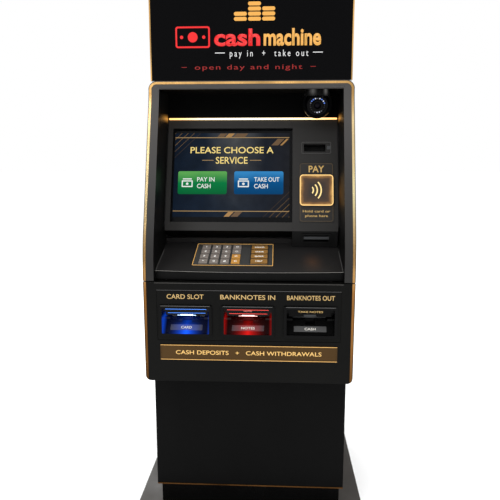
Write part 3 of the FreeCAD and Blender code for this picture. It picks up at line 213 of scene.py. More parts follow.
def painted(name, color, rough, grain=900.0, bump=0.12, specular=0.5):
    """Powder coat or moulded skin: fine grain, faint clouds, fingers' wear in the gloss."""
    s = Shader(name, color, rough, specular=specular)
    clouds = s.noise(3.2, 3.0)
    fine = s.noise(grain, 2.0)
    s.tint(s.mix(s.spread(clouds, 0.0, 1.0, 0.3, 0.7), shade(color, 0.86), shade(color, 1.14)))
    smears = s.noise(9.0, 6.0, s.stretched((1.0, 1.0, 0.35)), 0.62)
    s.gloss(s.spread(smears, rough * 0.85, rough * 1.2, 0.3, 0.7))
    s.bump(fine, bump, 0.12 * MM)
    return s


def brushed(name, color, rough, grain=(6.0, 900.0, 900.0), bump=0.1):
    """Metal with fine lines along the axis whose grain number is the smallest."""
    s = Shader(name, color, rough, metal=1.0)
    lines = s.noise(1.0, 3.0, s.stretched(grain), 0.7)
    tarnish = s.noise(6.0, 5.0)
    s.tint(s.mix(s.spread(tarnish, 0.0, 1.0, 0.3, 0.75), shade(color, 0.8), shade(color, 1.1)))
    s.gloss(s.spread(lines, rough * 0.7, rough * 1.35, 0.3, 0.7))
    s.bump(lines, bump, 0.05 * MM)
    return s


def lit(name, color, strength, base=(0.02, 0.02, 0.02, 1.0)):
    """Part with light of its own, slightly uneven: lamps and backlit print, and also painted light on print,
    lines and edges that have no lamp.
    """
    s = Shader(name, base, 0.35)
    cloud = s.noise(40.0, 2.0)
    s.glow(s.mix(s.spread(cloud, 0.0, 1.0, 0.25, 0.75), shade(color, 0.86), color), strength)
    return s


def dress(shader, *names):
    for name in names:
        slots = nodes[name].data.materials
        slots.clear()
        slots.append(shader.material)


def repaint(shader, name, test):
    """Gives another material to the faces of a CAD node that pass a test of centre and normal."""
    data = nodes[name].data
    data.materials.append(shader.material)
    index = len(data.materials) - 1
    for face in data.polygons:
        if test(face.center, face.normal):
            face.material_index = index


CHEEK_HIGH = linear(64, 62, 61)
CHEEK_MIDDLE = linear(44, 43, 42)
CHEEK_LOW = linear(28, 27, 26)
CONSOLE_HEIGHTS = (0.66, 1.02)  # over which painted shade takes the console's paint from dark to light
TRIM_HEIGHTS = (0.4, 1.12)      # and painted highlight takes the gold strips from bronze to pale gold
LIGHT_MIDDLE = -10 * MM         # where the light bar is brightest
LIGHT_REACH = 225 * MM          # and how far from there it is all amber
THUMB_HALF = 50 * MM            # half the width that a slot's lamp reaches
MOUTH_HALF = 57.5 * MM          # middle of a slot to its side wall
MOUTH_RISE = 32.5 * MM          # and to its top and bottom


def console_paint_and_shade():
    """Satin grey powder coat with painted shade: darker lower down, lighter higher up where the light falls.
    """
    s = painted("console_paint_and_shade", CHEEK_HIGH, 0.45, specular=0.3)
    # Painted shade: the paint goes from dark low down to light higher up.
    height = s.spread(s.axis("Z"), 0.0, 1.0, *CONSOLE_HEIGHTS)
    shades = s.ramp(height, [(0.0, CHEEK_LOW), (0.35, CHEEK_MIDDLE), (1.0, CHEEK_HIGH)])
    s.tint(s.mix(1.0, shades, s.uneven(3.2, 0.9, 1.1, 3.0), "MULTIPLY"))
    return s


def trim_gold():
    """Polished gold strip with a painted highlight: it gleams and glows more the higher it is."""
    s = brushed("trim_gold", linear(232, 182, 110), 0.22, grain=(500.0, 500.0, 4.0), bump=0.03)
    # Painted highlight: bronze low down, pale gold and glowing higher up.
    height = s.spread(s.axis("Z"), 0.0, 1.0, *TRIM_HEIGHTS)
    painted_gleam = s.ramp(height, [(0.0, linear(92, 62, 32)), (0.3, linear(128, 88, 46)),
                            (0.42, linear(214, 168, 106)), (0.6, linear(255, 228, 172)),
                            (0.86, linear(255, 224, 166)), (0.95, linear(228, 180, 112))])
    waves = s.uneven(1.0, 0.5, 1.5, 2.0, s.stretched((9.0, 9.0, 5.0)))
    shades = s.mix(1.0, painted_gleam, waves, "MULTIPLY")
    s.tint(shades)
    s.glow(shades, s.spread(height, 0.05, 0.6, 0.25, 0.8))
    return s


def light_bar():
    """Diffuser of the light bar: white in the middle, amber towards the ends."""
    s = Shader("light_bar", linear(200, 180, 140), 0.4)
    out = s.spread(s.off(s.axis("X"), LIGHT_MIDDLE), 0.0, 1.0, 0.0, LIGHT_REACH)
    ripple = s.plus(out, s.uneven(9.0, -0.12, 0.12))
    s.glow(s.ramp(ripple, [(0.0, (1.0, 0.86, 0.6, 1)), (0.55, (1.0, 0.72, 0.36, 1)),
                           (0.95, (0.8, 0.38, 0.1, 1))]), 2.6)
    return s


def lit_throat(name, color, strength):
    """Slot moulding with painted light from a lamp behind its middle: a painted glow, bright on the lip there
    and deep in colour on the walls.
    """
    s = painted(name + "_throat", linear(8, 8, 9), 0.25, grain=1400.0, bump=0.08, specular=0.12)
    low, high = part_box(name + "_bezel")
    out = s.off(s.axis("X"), (low.x + high.x) / 2)
    up = s.math("SUBTRACT", s.axis("Z"), (low.z + high.z) / 2)
    middle = s.fade(out, THUMB_HALF, 2.6, 1.2)
    wall = s.spread(out, 0.0, 0.34, THUMB_HALF, MOUTH_HALF)
    top = s.spread(up, 1.0, 0.03, 2 * MM, 13 * MM)
    foot = s.spread(up, 1.0, 0.1, -27 * MM, -9 * MM)
    painted_glow = s.times(s.plus(s.plus(s.times(middle, foot), wall), 0.012), top)
    s.glow(color, s.times(painted_glow, strength))
    return s


def inner_paint():
    """Inside of a cheek, painted black as shade, with painted amber light from the light bar and the pad's
    border on it.
    """
    s = painted("inner_shade_and_light", linear(9, 9, 9), 0.42, specular=0.15)
    glow = None
    for name, reach, squeeze, strength in (("led_strip", 30, 2.2, 0.7), ("contact_reader", 40, 0.7, 0.07)):
        low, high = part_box(name)
        across = s.times(s.math("SUBTRACT", s.axis("Y"), low.y), 0.3)
        up = s.times(s.math("SUBTRACT", s.axis("Z"), (low.z + high.z) / 2), squeeze)
        patch = s.fade(s.length(across, up), reach * MM, 2.0, strength)
        if low.x > 0:
            patch = s.times(patch, s.spread(s.axis("X"), 0.0, 1.0, 0.0, low.x))
        glow = patch if glow is None else s.plus(glow, patch)
    s.glow(linear(255, 176, 74), glow)
    return s


def shelf_paint():
    """Satin black tray, with a warm smear of light near its right front corner."""
    s = painted("shelf_black", linear(34, 33, 33), 0.32, specular=0.3)
    low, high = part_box("shelf")
    across = s.math("SUBTRACT", s.axis("X"), high.x - 72 * MM)
    along = s.times(s.math("SUBTRACT", s.axis("Y"), low.y + 50 * MM), 0.55)
    s.glow(linear(255, 168, 96), s.fade(s.length(across, along), 35 * MM, 1.7, 0.035))
    return s


def camera_ring():
    """Satin black ring of the camera with two soft highlights down its front."""
    s = painted("camera_ring", linear(20, 20, 20), 0.25, grain=1500.0, bump=0.02, specular=0.4)
    low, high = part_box("camera_mount")
    across = s.math("SUBTRACT", s.axis("X"), (low.x + high.x) / 2)
    shine = None
    for place, reach, strength in ((-13, 12, 0.11), (19, 8, 0.14)):
        patch = s.fade(s.off(across, place * MM), reach * MM, 1.6, strength)
        shine = patch if shine is None else s.plus(shine, patch)
    s.glow(linear(235, 232, 228), s.times(shine, s.spread(s.axis("Z"), 0.1, 1.0, low.z, low.z + 9 * MM)))
    return s


inner_shade_and_light = inner_paint()
# Painted shade: near black for hollows and recesses, dark grey for undersides, where shade falls.
painted_shade_black = painted("painted_shade_black", linear(6, 6, 6), 0.42, specular=0.1)
painted_underside_shade = painted("painted_underside_shade", linear(20, 20, 20), 0.45, specular=0.2)
plinth_black = painted("plinth_black", linear(6, 6, 6), 0.25, specular=0.15)
bar_grey = painted("bar_grey", linear(70, 72, 74), 0.35, grain=900.0)
paper = painted("paper", linear(238, 236, 228), 0.85, grain=1600.0, bump=0.15, specular=0.2)

BRASS_KEYS = ("key_34", "key_44")
FUNCTION_KEYS = [f"function_key_{n}" for n in range(1, 5)]
KEYS = [f"key_{row}{column}" for row in range(1, 5) for column in range(1, 5)]


def dress_parts():
    """Gives each CAD node its main material."""
    dress(console_paint_and_shade(), "left_cheek", "right_cheek", "hood_cover")
    dress(painted("screen_surround", CHEEK_MIDDLE, 0.5, specular=0.25), "screen_bezel", "control_column")
    dress(shelf_paint(), "shelf")
    dress(painted("fascia_black", linear(12, 12, 11), 0.34, specular=0.06), "lower_fascia")
    dress(painted("pedestal_black", linear(9, 9, 9), 0.42, specular=0.04), "cabinet_shell")
    dress(painted("slot_black", linear(10, 10, 10), 0.3, grain=1400.0, bump=0.08, specular=0.06),
          "card_bezel", "note_bezel", "cash_bezel")
    dress(painted("plate_paint", linear(64, 60, 56), 0.55, grain=350.0, bump=0.5), "floor_base")
    dress(painted("back_steel", linear(30, 30, 30), 0.48, grain=500.0, bump=0.3),
          "vault_door", "service_door")
    dress(painted("frame_steel", linear(26, 26, 27), 0.5, grain=500.0, bump=0.3), "console_frame")
    dress(trim_gold(), "gold_trim_strips")
    dress(light_bar(), "led_strip")
    dress(painted("bronze", linear(68, 48, 21), 0.4, grain=1100.0, bump=0.1, specular=0.1), "name_plate")
    dress(painted("display_black", linear(6, 7, 9), 0.12, grain=1500.0, bump=0.01), "display_module")
    dress(painted("keypad_grey", linear(58, 58, 57), 0.42, grain=1200.0, specular=0.3), "keypad_frame")
    dress(painted("pad_grey", linear(44, 42, 40), 0.4, grain=1200.0), "contact_reader")
    dress(painted("camera_black", linear(3, 3, 4), 0.2, grain=1500.0, bump=0.02, specular=0.05),
          "camera_yoke", "camera_ball")
    dress(camera_ring(), "camera_mount")
    dress(painted("sign_black", linear(4, 4, 5), 0.1, grain=1500.0, bump=0.01, specular=0.22),
          "topper_box", "topper_face")
    dress(painted("device_grey", linear(120, 122, 124), 0.5, grain=400.0, bump=0.2), "card_reader",
          "note_acceptor", "cash_dispenser", "cash_cassette", "computer", "receipt_printer")
    dress(brushed("steel", linear(186, 186, 184), 0.3), "vault_handle", "vault_bolts", "service_lock")
    dress(bar_grey, "cash_shutter")
    dress(painted("moulded_black", linear(26, 26, 27), 0.45), "vault_lock_dial", "cooling_fan", "power_inlet")
    dress(paper, "paper_roll")
    dress(painted("key_steel", linear(122, 114, 108), 0.34, grain=1300.0, bump=0.06, specular=0.35),
          *[name for name in KEYS if name not in BRASS_KEYS])
    dress(painted("key_brass", linear(184, 132, 62), 0.36, grain=1300.0, bump=0.06, specular=0.3),
          *BRASS_KEYS)
    dress(painted("function_bronze", linear(142, 104, 54), 0.36, grain=1300.0, bump=0.06, specular=0.3),
          *FUNCTION_KEYS)


# ---- drawing on surfaces ------------------------------------------------------------------

class Surface:
    """A node's extents along a tilted surface's own axes: x, up the surface and out of it."""

    def __init__(self, node, tilt, flip=False):
        self.turn = Matrix.Rotation(math.radians(tilt), 4, "X")
        if flip:
            self.turn = Matrix.Rotation(math.pi, 4, "Z") @ self.turn
        back = self.turn.inverted()
        points = [back @ vertex.co for vertex in nodes[node].data.vertices]
        self.low = Vector([min(p[k] for p in points) for k in range(3)])
        self.high = Vector([max(p[k] for p in points) for k in range(3)])
        self.middle = (self.low + self.high) / 2
        self.body = nodes[node]["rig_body"]

    def own(self, point):
        """A point in this surface's own axes."""
        return self.turn.inverted() @ point

    def put(self, piece, x, up, out):
        piece.matrix_world = self.turn @ Matrix.Translation((x, up, out))
        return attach(piece, self.body)


def mesh_piece(name, build, material, smooth=False):
    """New object from a function that fills a bmesh."""
    made = bmesh.new()
    build(made)
    bmesh.ops.recalc_face_normals(made, faces=made.faces)
    data = bpy.data.meshes.new(name)
    made.to_mesh(data)
    made.free()
    data.materials.append(material.material)
    if smooth:
        data.shade_smooth()
    piece = bpy.data.objects.new(name, data)
    bpy.context.scene.collection.objects.link(piece)
    return piece


def rounded(width, height, radius, steps=6):
    """Points round a rectangle with rounded corners, centred on the origin."""
    points = []
    radius = min(radius, width / 2, height / 2)
    for turn, (sx, sy) in enumerate(((1, 1), (-1, 1), (-1, -1), (1, -1))):
        for n in range(steps + 1):
            angle = math.radians(90 * turn + 90 * n / steps)
            points.append((sx * (width / 2 - radius) + radius * math.cos(angle),
                           sy * (height / 2 - radius) + radius * math.sin(angle)))
    return points


def extrude(made, points, low, high):
    """Closed slab over an outline, from low to high."""
    bottom = [made.verts.new((x, y, low)) for x, y in points]
    top = [made.verts.new((x, y, high)) for x, y in points]
    made.faces.new(bottom)
    made.faces.new(top)
    for n in range(len(points)):
        m = (n + 1) % len(points)
        made.faces.new((bottom[n], bottom[m], top[m], top[n]))


def band(made, outer, inner, low, high):
    """Closed ring between two outlines with as many points each."""
    rows = [[made.verts.new((x, y, z)) for x, y in line]
            for line, z in ((outer, low), (outer, high), (inner, high), (inner, low))]
    count = len(outer)
    for k in range(4):
        for n in range(count):
            m = (n + 1) % count
            made.faces.new((rows[k][n], rows[k][m], rows[(k + 1) % 4][m], rows[(k + 1) % 4][n]))


def plaque(name, width, height, radius, thick, material):
    """Flat plate with rounded corners."""
    return mesh_piece(name, lambda made: extrude(made, rounded(width, height, radius), 0, thick), material)


def border(name, width, height, radius, line, thick, material):
    """Frame with rounded corners and a line this wide."""
    def build(made):
        outer = rounded(width, height, radius)
        inner = rounded(width - 2 * line, height - 2 * line, max(radius - line, line / 2))
        band(made, outer, inner, 0, thick)
    return mesh_piece(name, build, material)


def disc(radius, count=32):
    return [(radius * math.cos(2 * math.pi * n / count), radius * math.sin(2 * math.pi * n / count))
            for n in range(count)]


def arc_band(made, radius, line, start, end, low, high, steps=16):
    """Curved bar with square ends."""
    angles = [math.radians(start + (end - start) * n / steps) for n in range(steps + 1)]
    outer = [((radius + line / 2) * math.cos(a), (radius + line / 2) * math.sin(a)) for a in angles]
    inner = [((radius - line / 2) * math.cos(a), (radius - line / 2) * math.sin(a)) for a in angles]
    extrude(made, outer + inner[::-1], low, high)


def lettering(name, words, height, material, width=None, weight=0.0, spacing=1.0):
    """Raised print: capitals this tall, squeezed or widened to a width if one is given."""
    curve = bpy.data.curves.new(name, "FONT")
    curve.body = words
    curve.size = 1.0
    curve.align_x = "CENTER"
    curve.offset = weight
    curve.space_character = spacing
    curve.resolution_u = 4
    holder = bpy.data.objects.new(name + "_outline", curve)
    bpy.context.scene.collection.objects.link(holder)
    bpy.context.view_layer.update()
    data = bpy.data.meshes.new_from_object(holder)
    bpy.data.objects.remove(holder)
    xs = [v.co.x for v in data.vertices]
    scale_y = height / CAPITAL
    scale_x = width / (max(xs) - min(xs)) if width else scale_y
    shift = (max(xs) + min(xs)) / 2
    made = bmesh.new()
    made.from_mesh(data)
    bmesh.ops.remove_doubles(made, verts=made.verts, dist=1e-5)
    for v in made.verts:
        v.co = Vector(((v.co.x - shift) * scale_x, (v.co.y - CAPITAL / 2) * scale_y, 0))
    faces = bmesh.ops.extrude_face_region(made, geom=made.faces[:])["geom"]
    for v in [g for g in faces if isinstance(g, bmesh.types.BMVert)]:
        v.co.z += INK
    bmesh.ops.recalc_face_normals(made, faces=made.faces)
    made.to_mesh(data)
    made.free()
    data.name = name
    data.materials.clear()
    data.materials.append(material.material)
    piece = bpy.data.objects.new(name, data)
    bpy.context.scene.collection.objects.link(piece)
    return piece


# ---- faces of the CAD parts that differ from the rest of the part -------------------------

def paint_insides():
    """Paints shade black into hollows, recesses and undersides inside the console, and paints light into the
    throats of two slots.
    """
    sign_low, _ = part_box("topper_box")
    _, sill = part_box("camera_mount")
    # Painted shade on the hood's ceiling and back wall.
    repaint(painted_shade_black, "hood_cover", lambda c, n: c.z < sill.z + 0.3 * MM and c.y > sign_low.y + 2 * MM)
    low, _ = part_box("right_cheek")
    # Painted shade and painted amber light on the inner faces of the cheeks.
    for name in ("left_cheek", "right_cheek"):
        repaint(inner_shade_and_light, name, lambda c, n: abs(c.x) < low.x + 0.3 * MM)
    edge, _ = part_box("shelf")
    # Painted shade on the shelf's front face, which faces away from the light above.
    repaint(painted_shade_black, "shelf", lambda c, n: n.y < -0.7 and c.y < edge.y + 12 * MM)
    # Painted shade in the recesses and undersides of the screen wall and the column.
    for name, shader in (("screen_bezel", painted_shade_black), ("control_column", painted_underside_shade)):
        wall = Surface("screen_bezel", PANEL_TILT)
        repaint(shader, name, lambda c, n, w=wall: w.own(c).z < w.high.z - 1.0 * MM)
    plate_low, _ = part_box("floor_base")
    repaint(plinth_black, "floor_base", lambda c, n: c.z > plate_low.z + 13 * MM)
    # Painted shade inside the receipt outlet and on its face under the panel.
    outlet = Surface("receipt_printer", OUTLET_TILT)
    repaint(painted_shade_black, "receipt_printer", lambda c, n: outlet.own(c).z > outlet.high.z - 14 * MM)
    repaint(painted_underside_shade, "receipt_printer", lambda c, n: outlet.own(c).z > outlet.high.z - 0.3 * MM)
    repaint(bar_grey, "receipt_printer",
            lambda c, n: -1.3 * MM < outlet.own(c).z - outlet.high.z < -0.7 * MM)
    # Painted light of the slot lamps on the throats of the card and note slots.
    for name, shader in (("card", lit_throat("card", linear(20, 90, 255), 1.1)),
                         ("note", lit_throat("note", linear(230, 26, 22), 0.8))):
        face = Surface(name + "_bezel", UPRIGHT)
        repaint(shader, name + "_bezel", lambda c, n, f=face: -49 * MM < f.own(c).z - f.high.z < -1 * MM
                and abs(c.x - f.middle.x) < MOUTH_HALF + 0.1 * MM
                and abs(f.own(c).y - f.middle.y) < MOUTH_RISE)


# ---- sign ---------------------------------------------------------------------------------

sign_red = lit("sign_red", linear(226, 30, 32), 0.75, linear(150, 10, 12))
sign_gold = lit("sign_gold", linear(232, 178, 84), 0.7, linear(150, 100, 40))
sign_white = lit("sign_white", linear(222, 222, 222), 0.7, linear(150, 150, 150))
sign_dim_red = lit("sign_dim_red", linear(170, 36, 34), 0.6, linear(90, 12, 12))


def make_sign():
    """Lit words, a banknote and stacks of coins on the topper's face."""
    face = Surface("topper_face", UPRIGHT)
    base = face.low.y
    out = face.high.z + SKIN

    def at(piece, x, up):
        return face.put(piece, x, base + up, out)

    at(lettering("sign_word_cash", "cash", 37 * MM, sign_red, 112 * MM, 0.03), -33 * MM, 98 * MM)
    at(lettering("sign_word_machine", "machine", 37 * MM, sign_gold, 138 * MM, 0.03), 100 * MM, 98 * MM)
    at(lettering("sign_words_below", "pay in  +  take out", 15 * MM, sign_white, 190 * MM, 0.0, 1.5),
       44 * MM, 61 * MM)
    for n, x in enumerate((-75, 162)):
        at(plaque(f"sign_rule_{n}", 24 * MM, 1.8 * MM, 0.5 * MM, INK, sign_white), x * MM, 62 * MM)
    at(lettering("sign_words_foot", "open day and night", 11 * MM, sign_dim_red, 262 * MM, 0.0, 1.2),
       -6 * MM, 29 * MM)
    for n, x in enumerate((-163, 151)):
        at(plaque(f"sign_dash_{n}", 13 * MM, 1.2 * MM, 0.3 * MM, INK, sign_dim_red), x * MM, 29 * MM)

    def note(made):
        outer, inner = rounded(84 * MM, 50 * MM, 6 * MM), rounded(76 * MM, 42 * MM, 3 * MM)
        band(made, outer, inner, 0, INK)
        extrude(made, disc(12 * MM), 0, INK)
        for side in (-1, 1):
            corner = [(x + side * 27 * MM, y) for x, y in disc(4 * MM, 20)]
            extrude(made, corner, 0, INK)

    at(mesh_piece("sign_banknote", note, sign_red), -141 * MM, 99 * MM)

    def coins(made):
        for column, count in ((-34, 2), (0, 4), (34, 3)):
            for level in range(count):
                up = level * 11.5 * MM
                pill = [(x + column * MM, y + up) for x, y in rounded(31 * MM, 9 * MM, 4.4 * MM)]
                extrude(made, pill, 0, INK)

    at(mesh_piece("sign_coins", coins, sign_gold), 9 * MM, 140 * MM)


# ---- screen -------------------------------------------------------------------------------

SCREEN_WIDTH = 304.1 * MM       # lit area of the display
SCREEN_HEIGHT = 228.1 * MM
BUTTON_HEIGHT = 62 * MM


def screen_picture():
    """Lit picture: navy on the left, grey on the right, a beam from the top, gold slants in two corners."""
    s = Shader("screen_picture", (0.002, 0.003, 0.005, 1.0), 0.14, specular=0.15)
    x, y = s.axis("X"), s.axis("Y")
    shades = s.ramp(s.spread(x, 0.0, 1.0, -0.15, 0.15),
                    [(0.0, linear(9, 20, 34)), (0.45, linear(19, 29, 42)), (1.0, linear(27, 27, 30))])
    beam = s.times(s.spread(s.off(x, 8 * MM), 0.55, 0.0, 0.0, 80 * MM), s.spread(y, 0.1, 1.0, -0.1, 0.11))
    picture = s.mix(beam, shades, linear(96, 96, 94))
    picture = s.mix(1.0, picture, s.uneven(28.0, 0.75, 1.25, 3.0), "MULTIPLY")
    slant = s.math("SUBTRACT", x, y)
    stripes = s.math("ABSOLUTE", s.math("SINE", s.times(slant, 190.0)))
    corner = s.spread(s.math("ABSOLUTE", slant), 0.0, 1.0, 0.19, 0.225)
    drawn = s.times(s.spread(stripes, 0.8, 0.0, 0.02, 0.13), corner)
    s.glow(s.mix(drawn, picture, linear(186, 142, 76)), 0.95)
    return s


def button_glow(name, top, bottom):
    """Lit button, darker downwards."""
    s = Shader(name, (0.002, 0.002, 0.002, 1.0), 0.2, specular=0.1)
    height = s.spread(s.axis("Y"), 0.0, 1.0, -BUTTON_HEIGHT / 2, BUTTON_HEIGHT / 2)
    cloudy = s.plus(height, s.uneven(20.0, -0.06, 0.06))
    s.glow(s.ramp(cloudy, [(0.05, bottom), (0.5, shade(bottom, 1.5)), (0.95, top)]), 1.0)
    return s


def slanted(left, right, low, high, lean):
    """Corners of a bar that leans to the right."""
    return [(left * MM, low * MM), (right * MM, low * MM),
            ((right + lean) * MM, high * MM), ((left + lean) * MM, high * MM)]


def make_screen():
    """The picture on the display, with a title, two buttons and bars along its edges."""
    glass = Surface("display_module", PANEL_TILT)
    out = glass.high.z
    x, up = glass.middle.x + 0.4 * MM, glass.middle.y + 3.0 * MM

    def at(piece, dx, dy, lift=3):
        return glass.put(piece, x + dx * MM, up + dy * MM, out + lift * SKIN)

    picture = screen_picture()
    glass.put(plaque("screen_image", SCREEN_WIDTH, SCREEN_HEIGHT, 1 * MM, INK, picture), x, up, out + SKIN)
    rule = lit("screen_rule", linear(178, 142, 86), 0.85)
    bronze_bars = lit("screen_bars", linear(104, 74, 38), 0.9)
    bright_bars = lit("screen_bars_bright", linear(176, 130, 66), 0.9)
    for n, (shader, corners) in enumerate((
            (bronze_bars, (-40, -22, 103.2, 113, 9)), (bright_bars, (-18, -2, 103.2, 113, 9)),
            (bronze_bars, (3, 34, 103.2, 113, 9)), (bright_bars, (-18, -4, -113, -100.2, 12)),
            (bronze_bars, (0, 18, -113, -100.2, 12)), (bronze_bars, (104, 122, 80, 98, 17)),
            (bright_bars, (127, 133, 80, 98, 17)))):
        at(mesh_piece(f"screen_bar_{n}", lambda made, c=corners: extrude(made, slanted(*c), 0, INK), shader),
           0, 0, 2)
    title = lit("screen_title", linear(250, 222, 130), 1.0)
    white = lit("screen_white", linear(240, 244, 240), 0.95)
    for name, dy in (("screen_rule_top", 101.5), ("screen_rule_foot", -98.5)):
        at(plaque(name, SCREEN_WIDTH - 1 * MM, 1.9 * MM, 0.3 * MM, INK, rule), 0, dy, 2)
    at(lettering("screen_title_1", "PLEASE CHOOSE A", 17 * MM, title, 220 * MM, 0.008), 0, 67)
    at(lettering("screen_title_2", "SERVICE", 18 * MM, title, 84 * MM, 0.008), 0, 39)
    for n, side in enumerate((-1, 1)):
        at(plaque(f"screen_title_rule_{n}", 30 * MM, 1.6 * MM, 0.3 * MM, INK, rule), side * 63, 39)
    green = button_glow("screen_green", linear(90, 164, 82), linear(0, 98, 50))
    blue = button_glow("screen_blue", linear(50, 132, 192), linear(0, 64, 110))
    for name, side, glow, words in (("pay_in", -76, green, ("PAY IN", "CASH")),
                                    ("take_out", 72, blue, ("TAKE OUT", "CASH"))):
        at(plaque(f"screen_{name}", 129 * MM, BUTTON_HEIGHT, 5 * MM, INK, glow), side, -22, 2)
        widths = (46, 36) if name == "pay_in" else (66, 36)
        for line, (word, wide) in enumerate(zip(words, widths)):
            left = side - 14 + wide / 2 + (2 if name == "take_out" else 0)
            at(lettering(f"screen_{name}_{line}", word, 11.5 * MM, white, wide * MM, 0.012),
               left, -13 - 18 * line, 4)

        def icon(made):
            band(made, rounded(29 * MM, 18 * MM, 1.5 * MM), rounded(23 * MM, 12 * MM, 1 * MM), 0, INK)
            extrude(made, disc(3.4 * MM, 20), 0, INK)
            top = [(px, py + 13 * MM) for px, py in rounded(24 * MM, 3 * MM, 1 * MM)]
            extrude(made, top, 0, INK)

        at(mesh_piece(f"screen_{name}_icon", icon, white), side - 40, -25, 4)


# ---- contactless reader -------------------------------------------------------------------

PAD = 82 * MM                   # side of the contactless pad
PAD_WIDTH = PAD - 2.4 * MM      # its glass inside the lit border
PAD_HEIGHT = PAD - 6.4 * MM


def reader_glass():
    """Smoked pad, warmer towards its lit border."""
    s = Shader("reader_glass", linear(34, 30, 28), 0.22)
    across = s.math("DIVIDE", s.math("ABSOLUTE", s.axis("X")), PAD_WIDTH / 2)
    along = s.math("DIVIDE", s.math("ABSOLUTE", s.axis("Y")), PAD_HEIGHT / 2)
    edge = s.plus(s.math("MAXIMUM", across, along), s.uneven(40.0, -0.05, 0.05))
    s.glow(s.ramp(edge, [(0.4, linear(58, 50, 46)), (0.78, linear(84, 64, 48)),
                         (0.92, linear(150, 108, 62)), (1.0, linear(232, 180, 104))]), 0.8)
    s.bump(s.noise(900.0, 2.0), 0.05, 0.05 * MM)
    return s


def make_reader():
    """The contactless pad with its lit border, waves and words."""
    pad = Surface("contact_reader", PANEL_TILT)
    x = pad.middle.x
    middle = pad.low.y + 82.5 * MM
    out = pad.high.z
    face = pad.low.z + 1.5 * MM
    glow = lit("reader_border_glow", linear(255, 206, 128), 1.5)
    pad.put(border("reader_border", PAD + 3.4 * MM, PAD - 0.4 * MM, 8.5 * MM, 2.2 * MM, 0.8 * MM, glow),
            x, middle, out + SKIN)
    pad.put(plaque("reader_pad", PAD_WIDTH, PAD_HEIGHT, 5.8 * MM, 0.3 * MM, reader_glass()),
            x, middle, out - 1.4 * MM + SKIN)
    ink = lit("reader_ink", linear(255, 226, 150), 1.25)
    # The words on the plate glow: painted light on print with no lamp behind it.
    label = lit("reader_label_ink", linear(224, 184, 108), 0.8)

    def waves(made):
        for n in range(3):
            arc_band(made, (12 + 10 * n) * MM, 3.4 * MM, -42, 42, 0, INK)

    pad.put(mesh_piece("reader_symbol", waves, ink), x - 20 * MM, middle, out - 1.0 * MM + SKIN)
    # The outline glows: painted light on a printed line.
    thin = lit("reader_outline", linear(150, 120, 76), 0.5)
    size = pad.high - pad.low
    pad.put(border("reader_plate_line", size.x - 3 * MM, size.y - 3 * MM, 6 * MM, 0.6 * MM, INK, thin),
            x, pad.middle.y, face + SKIN)
    pad.put(lettering("reader_word", "PAY", 17 * MM, label, 40 * MM, 0.02),
            x, middle + 57.5 * MM, face + SKIN)
    for n, (words, wide) in enumerate((("Hold card or", 70), ("phone here", 58))):
        pad.put(lettering(f"reader_hint_{n}", words, 6.2 * MM, label, wide * MM, 0.01),
                x, middle - (54.5 + 12 * n) * MM, face + SKIN)


# ---- keypad -------------------------------------------------------------------------------

# Painted highlight: thin gold lines that glow as if catching the light, on the keypad's border and the name
# plate's edges.
painted_gold_highlight = lit("painted_gold_highlight", linear(206, 158, 88), 0.62, linear(190, 146, 80))


def make_key_legends():
    # The pale legends glow a little: painted light on print with no lamp behind it.
    ink = lit("key_ink", linear(236, 236, 232), 0.35, linear(225, 225, 220))
    legends = ("1", "2", "3", "", "4", "5", "6", "", "7", "8", "9", "", "*", "0", "#", "")
    for name, words in zip(KEYS, legends):
        key = Surface(name, SHELF_TILT)
        if words:
            piece = lettering(f"legend_{name}", words, 7.6 * MM, ink, weight=0.02)
        else:
            piece = border(f"legend_{name}", 7 * MM, 7 * MM, 3.4 * MM, 1.1 * MM, INK, ink)
        key.put(piece, key.middle.x, key.middle.y, key.high.z + SKIN)
    gap = painted("key_gap", linear(22, 20, 18), 0.5)
    for name, words in zip(FUNCTION_KEYS, ("CANCEL", "CLEAR", "ENTER", "HELP")):
        key = Surface(name, SHELF_TILT)
        size = key.high - key.low
        key.put(border(f"rim_{name}", size.x - 0.4 * MM, size.y - 0.4 * MM, 1.5 * MM, 1.3 * MM, INK, gap),
                key.middle.x, key.middle.y, key.high.z + SKIN)
        key.put(lettering(f"legend_{name}", words, 6 * MM, ink, 4.4 * len(words) * MM, 0.02),
                key.middle.x, key.middle.y, key.high.z + SKIN)


def make_keypad_border():
    pad = Surface("keypad_frame", SHELF_TILT)
    size = pad.high - pad.low
    line = border("keypad_gold_line", size.x + 0.6 * MM, size.y + 0.6 * MM, 3 * MM, 1.4 * MM, 0.5 * MM,
                  painted_gold_highlight)
    pad.put(line, pad.middle.x, pad.middle.y, pad.high.z + SKIN)


# ---- slots, labels and name plate ---------------------------------------------------------

LIP_DROP = 17.75 * MM           # middle of a slot to the middle of its sloping lip,
LIP_DEPTH = 17.25 * MM          # which lies this far behind the fascia
LIP_SLOPE = math.degrees(math.atan2(20.5, 21.5))


def lip_plate(name, color):
    """Translucent label plate, lit from behind its middle."""
    s = Shader(name + "_plate", linear(60, 60, 64), 0.3)
    centre = s.spread(s.math("ABSOLUTE", s.axis("X")), 1.0, 0.0, 0.0, 40 * MM)
    s.glow(color, s.times(centre, s.uneven(60.0, 0.7, 1.1)))
    return s


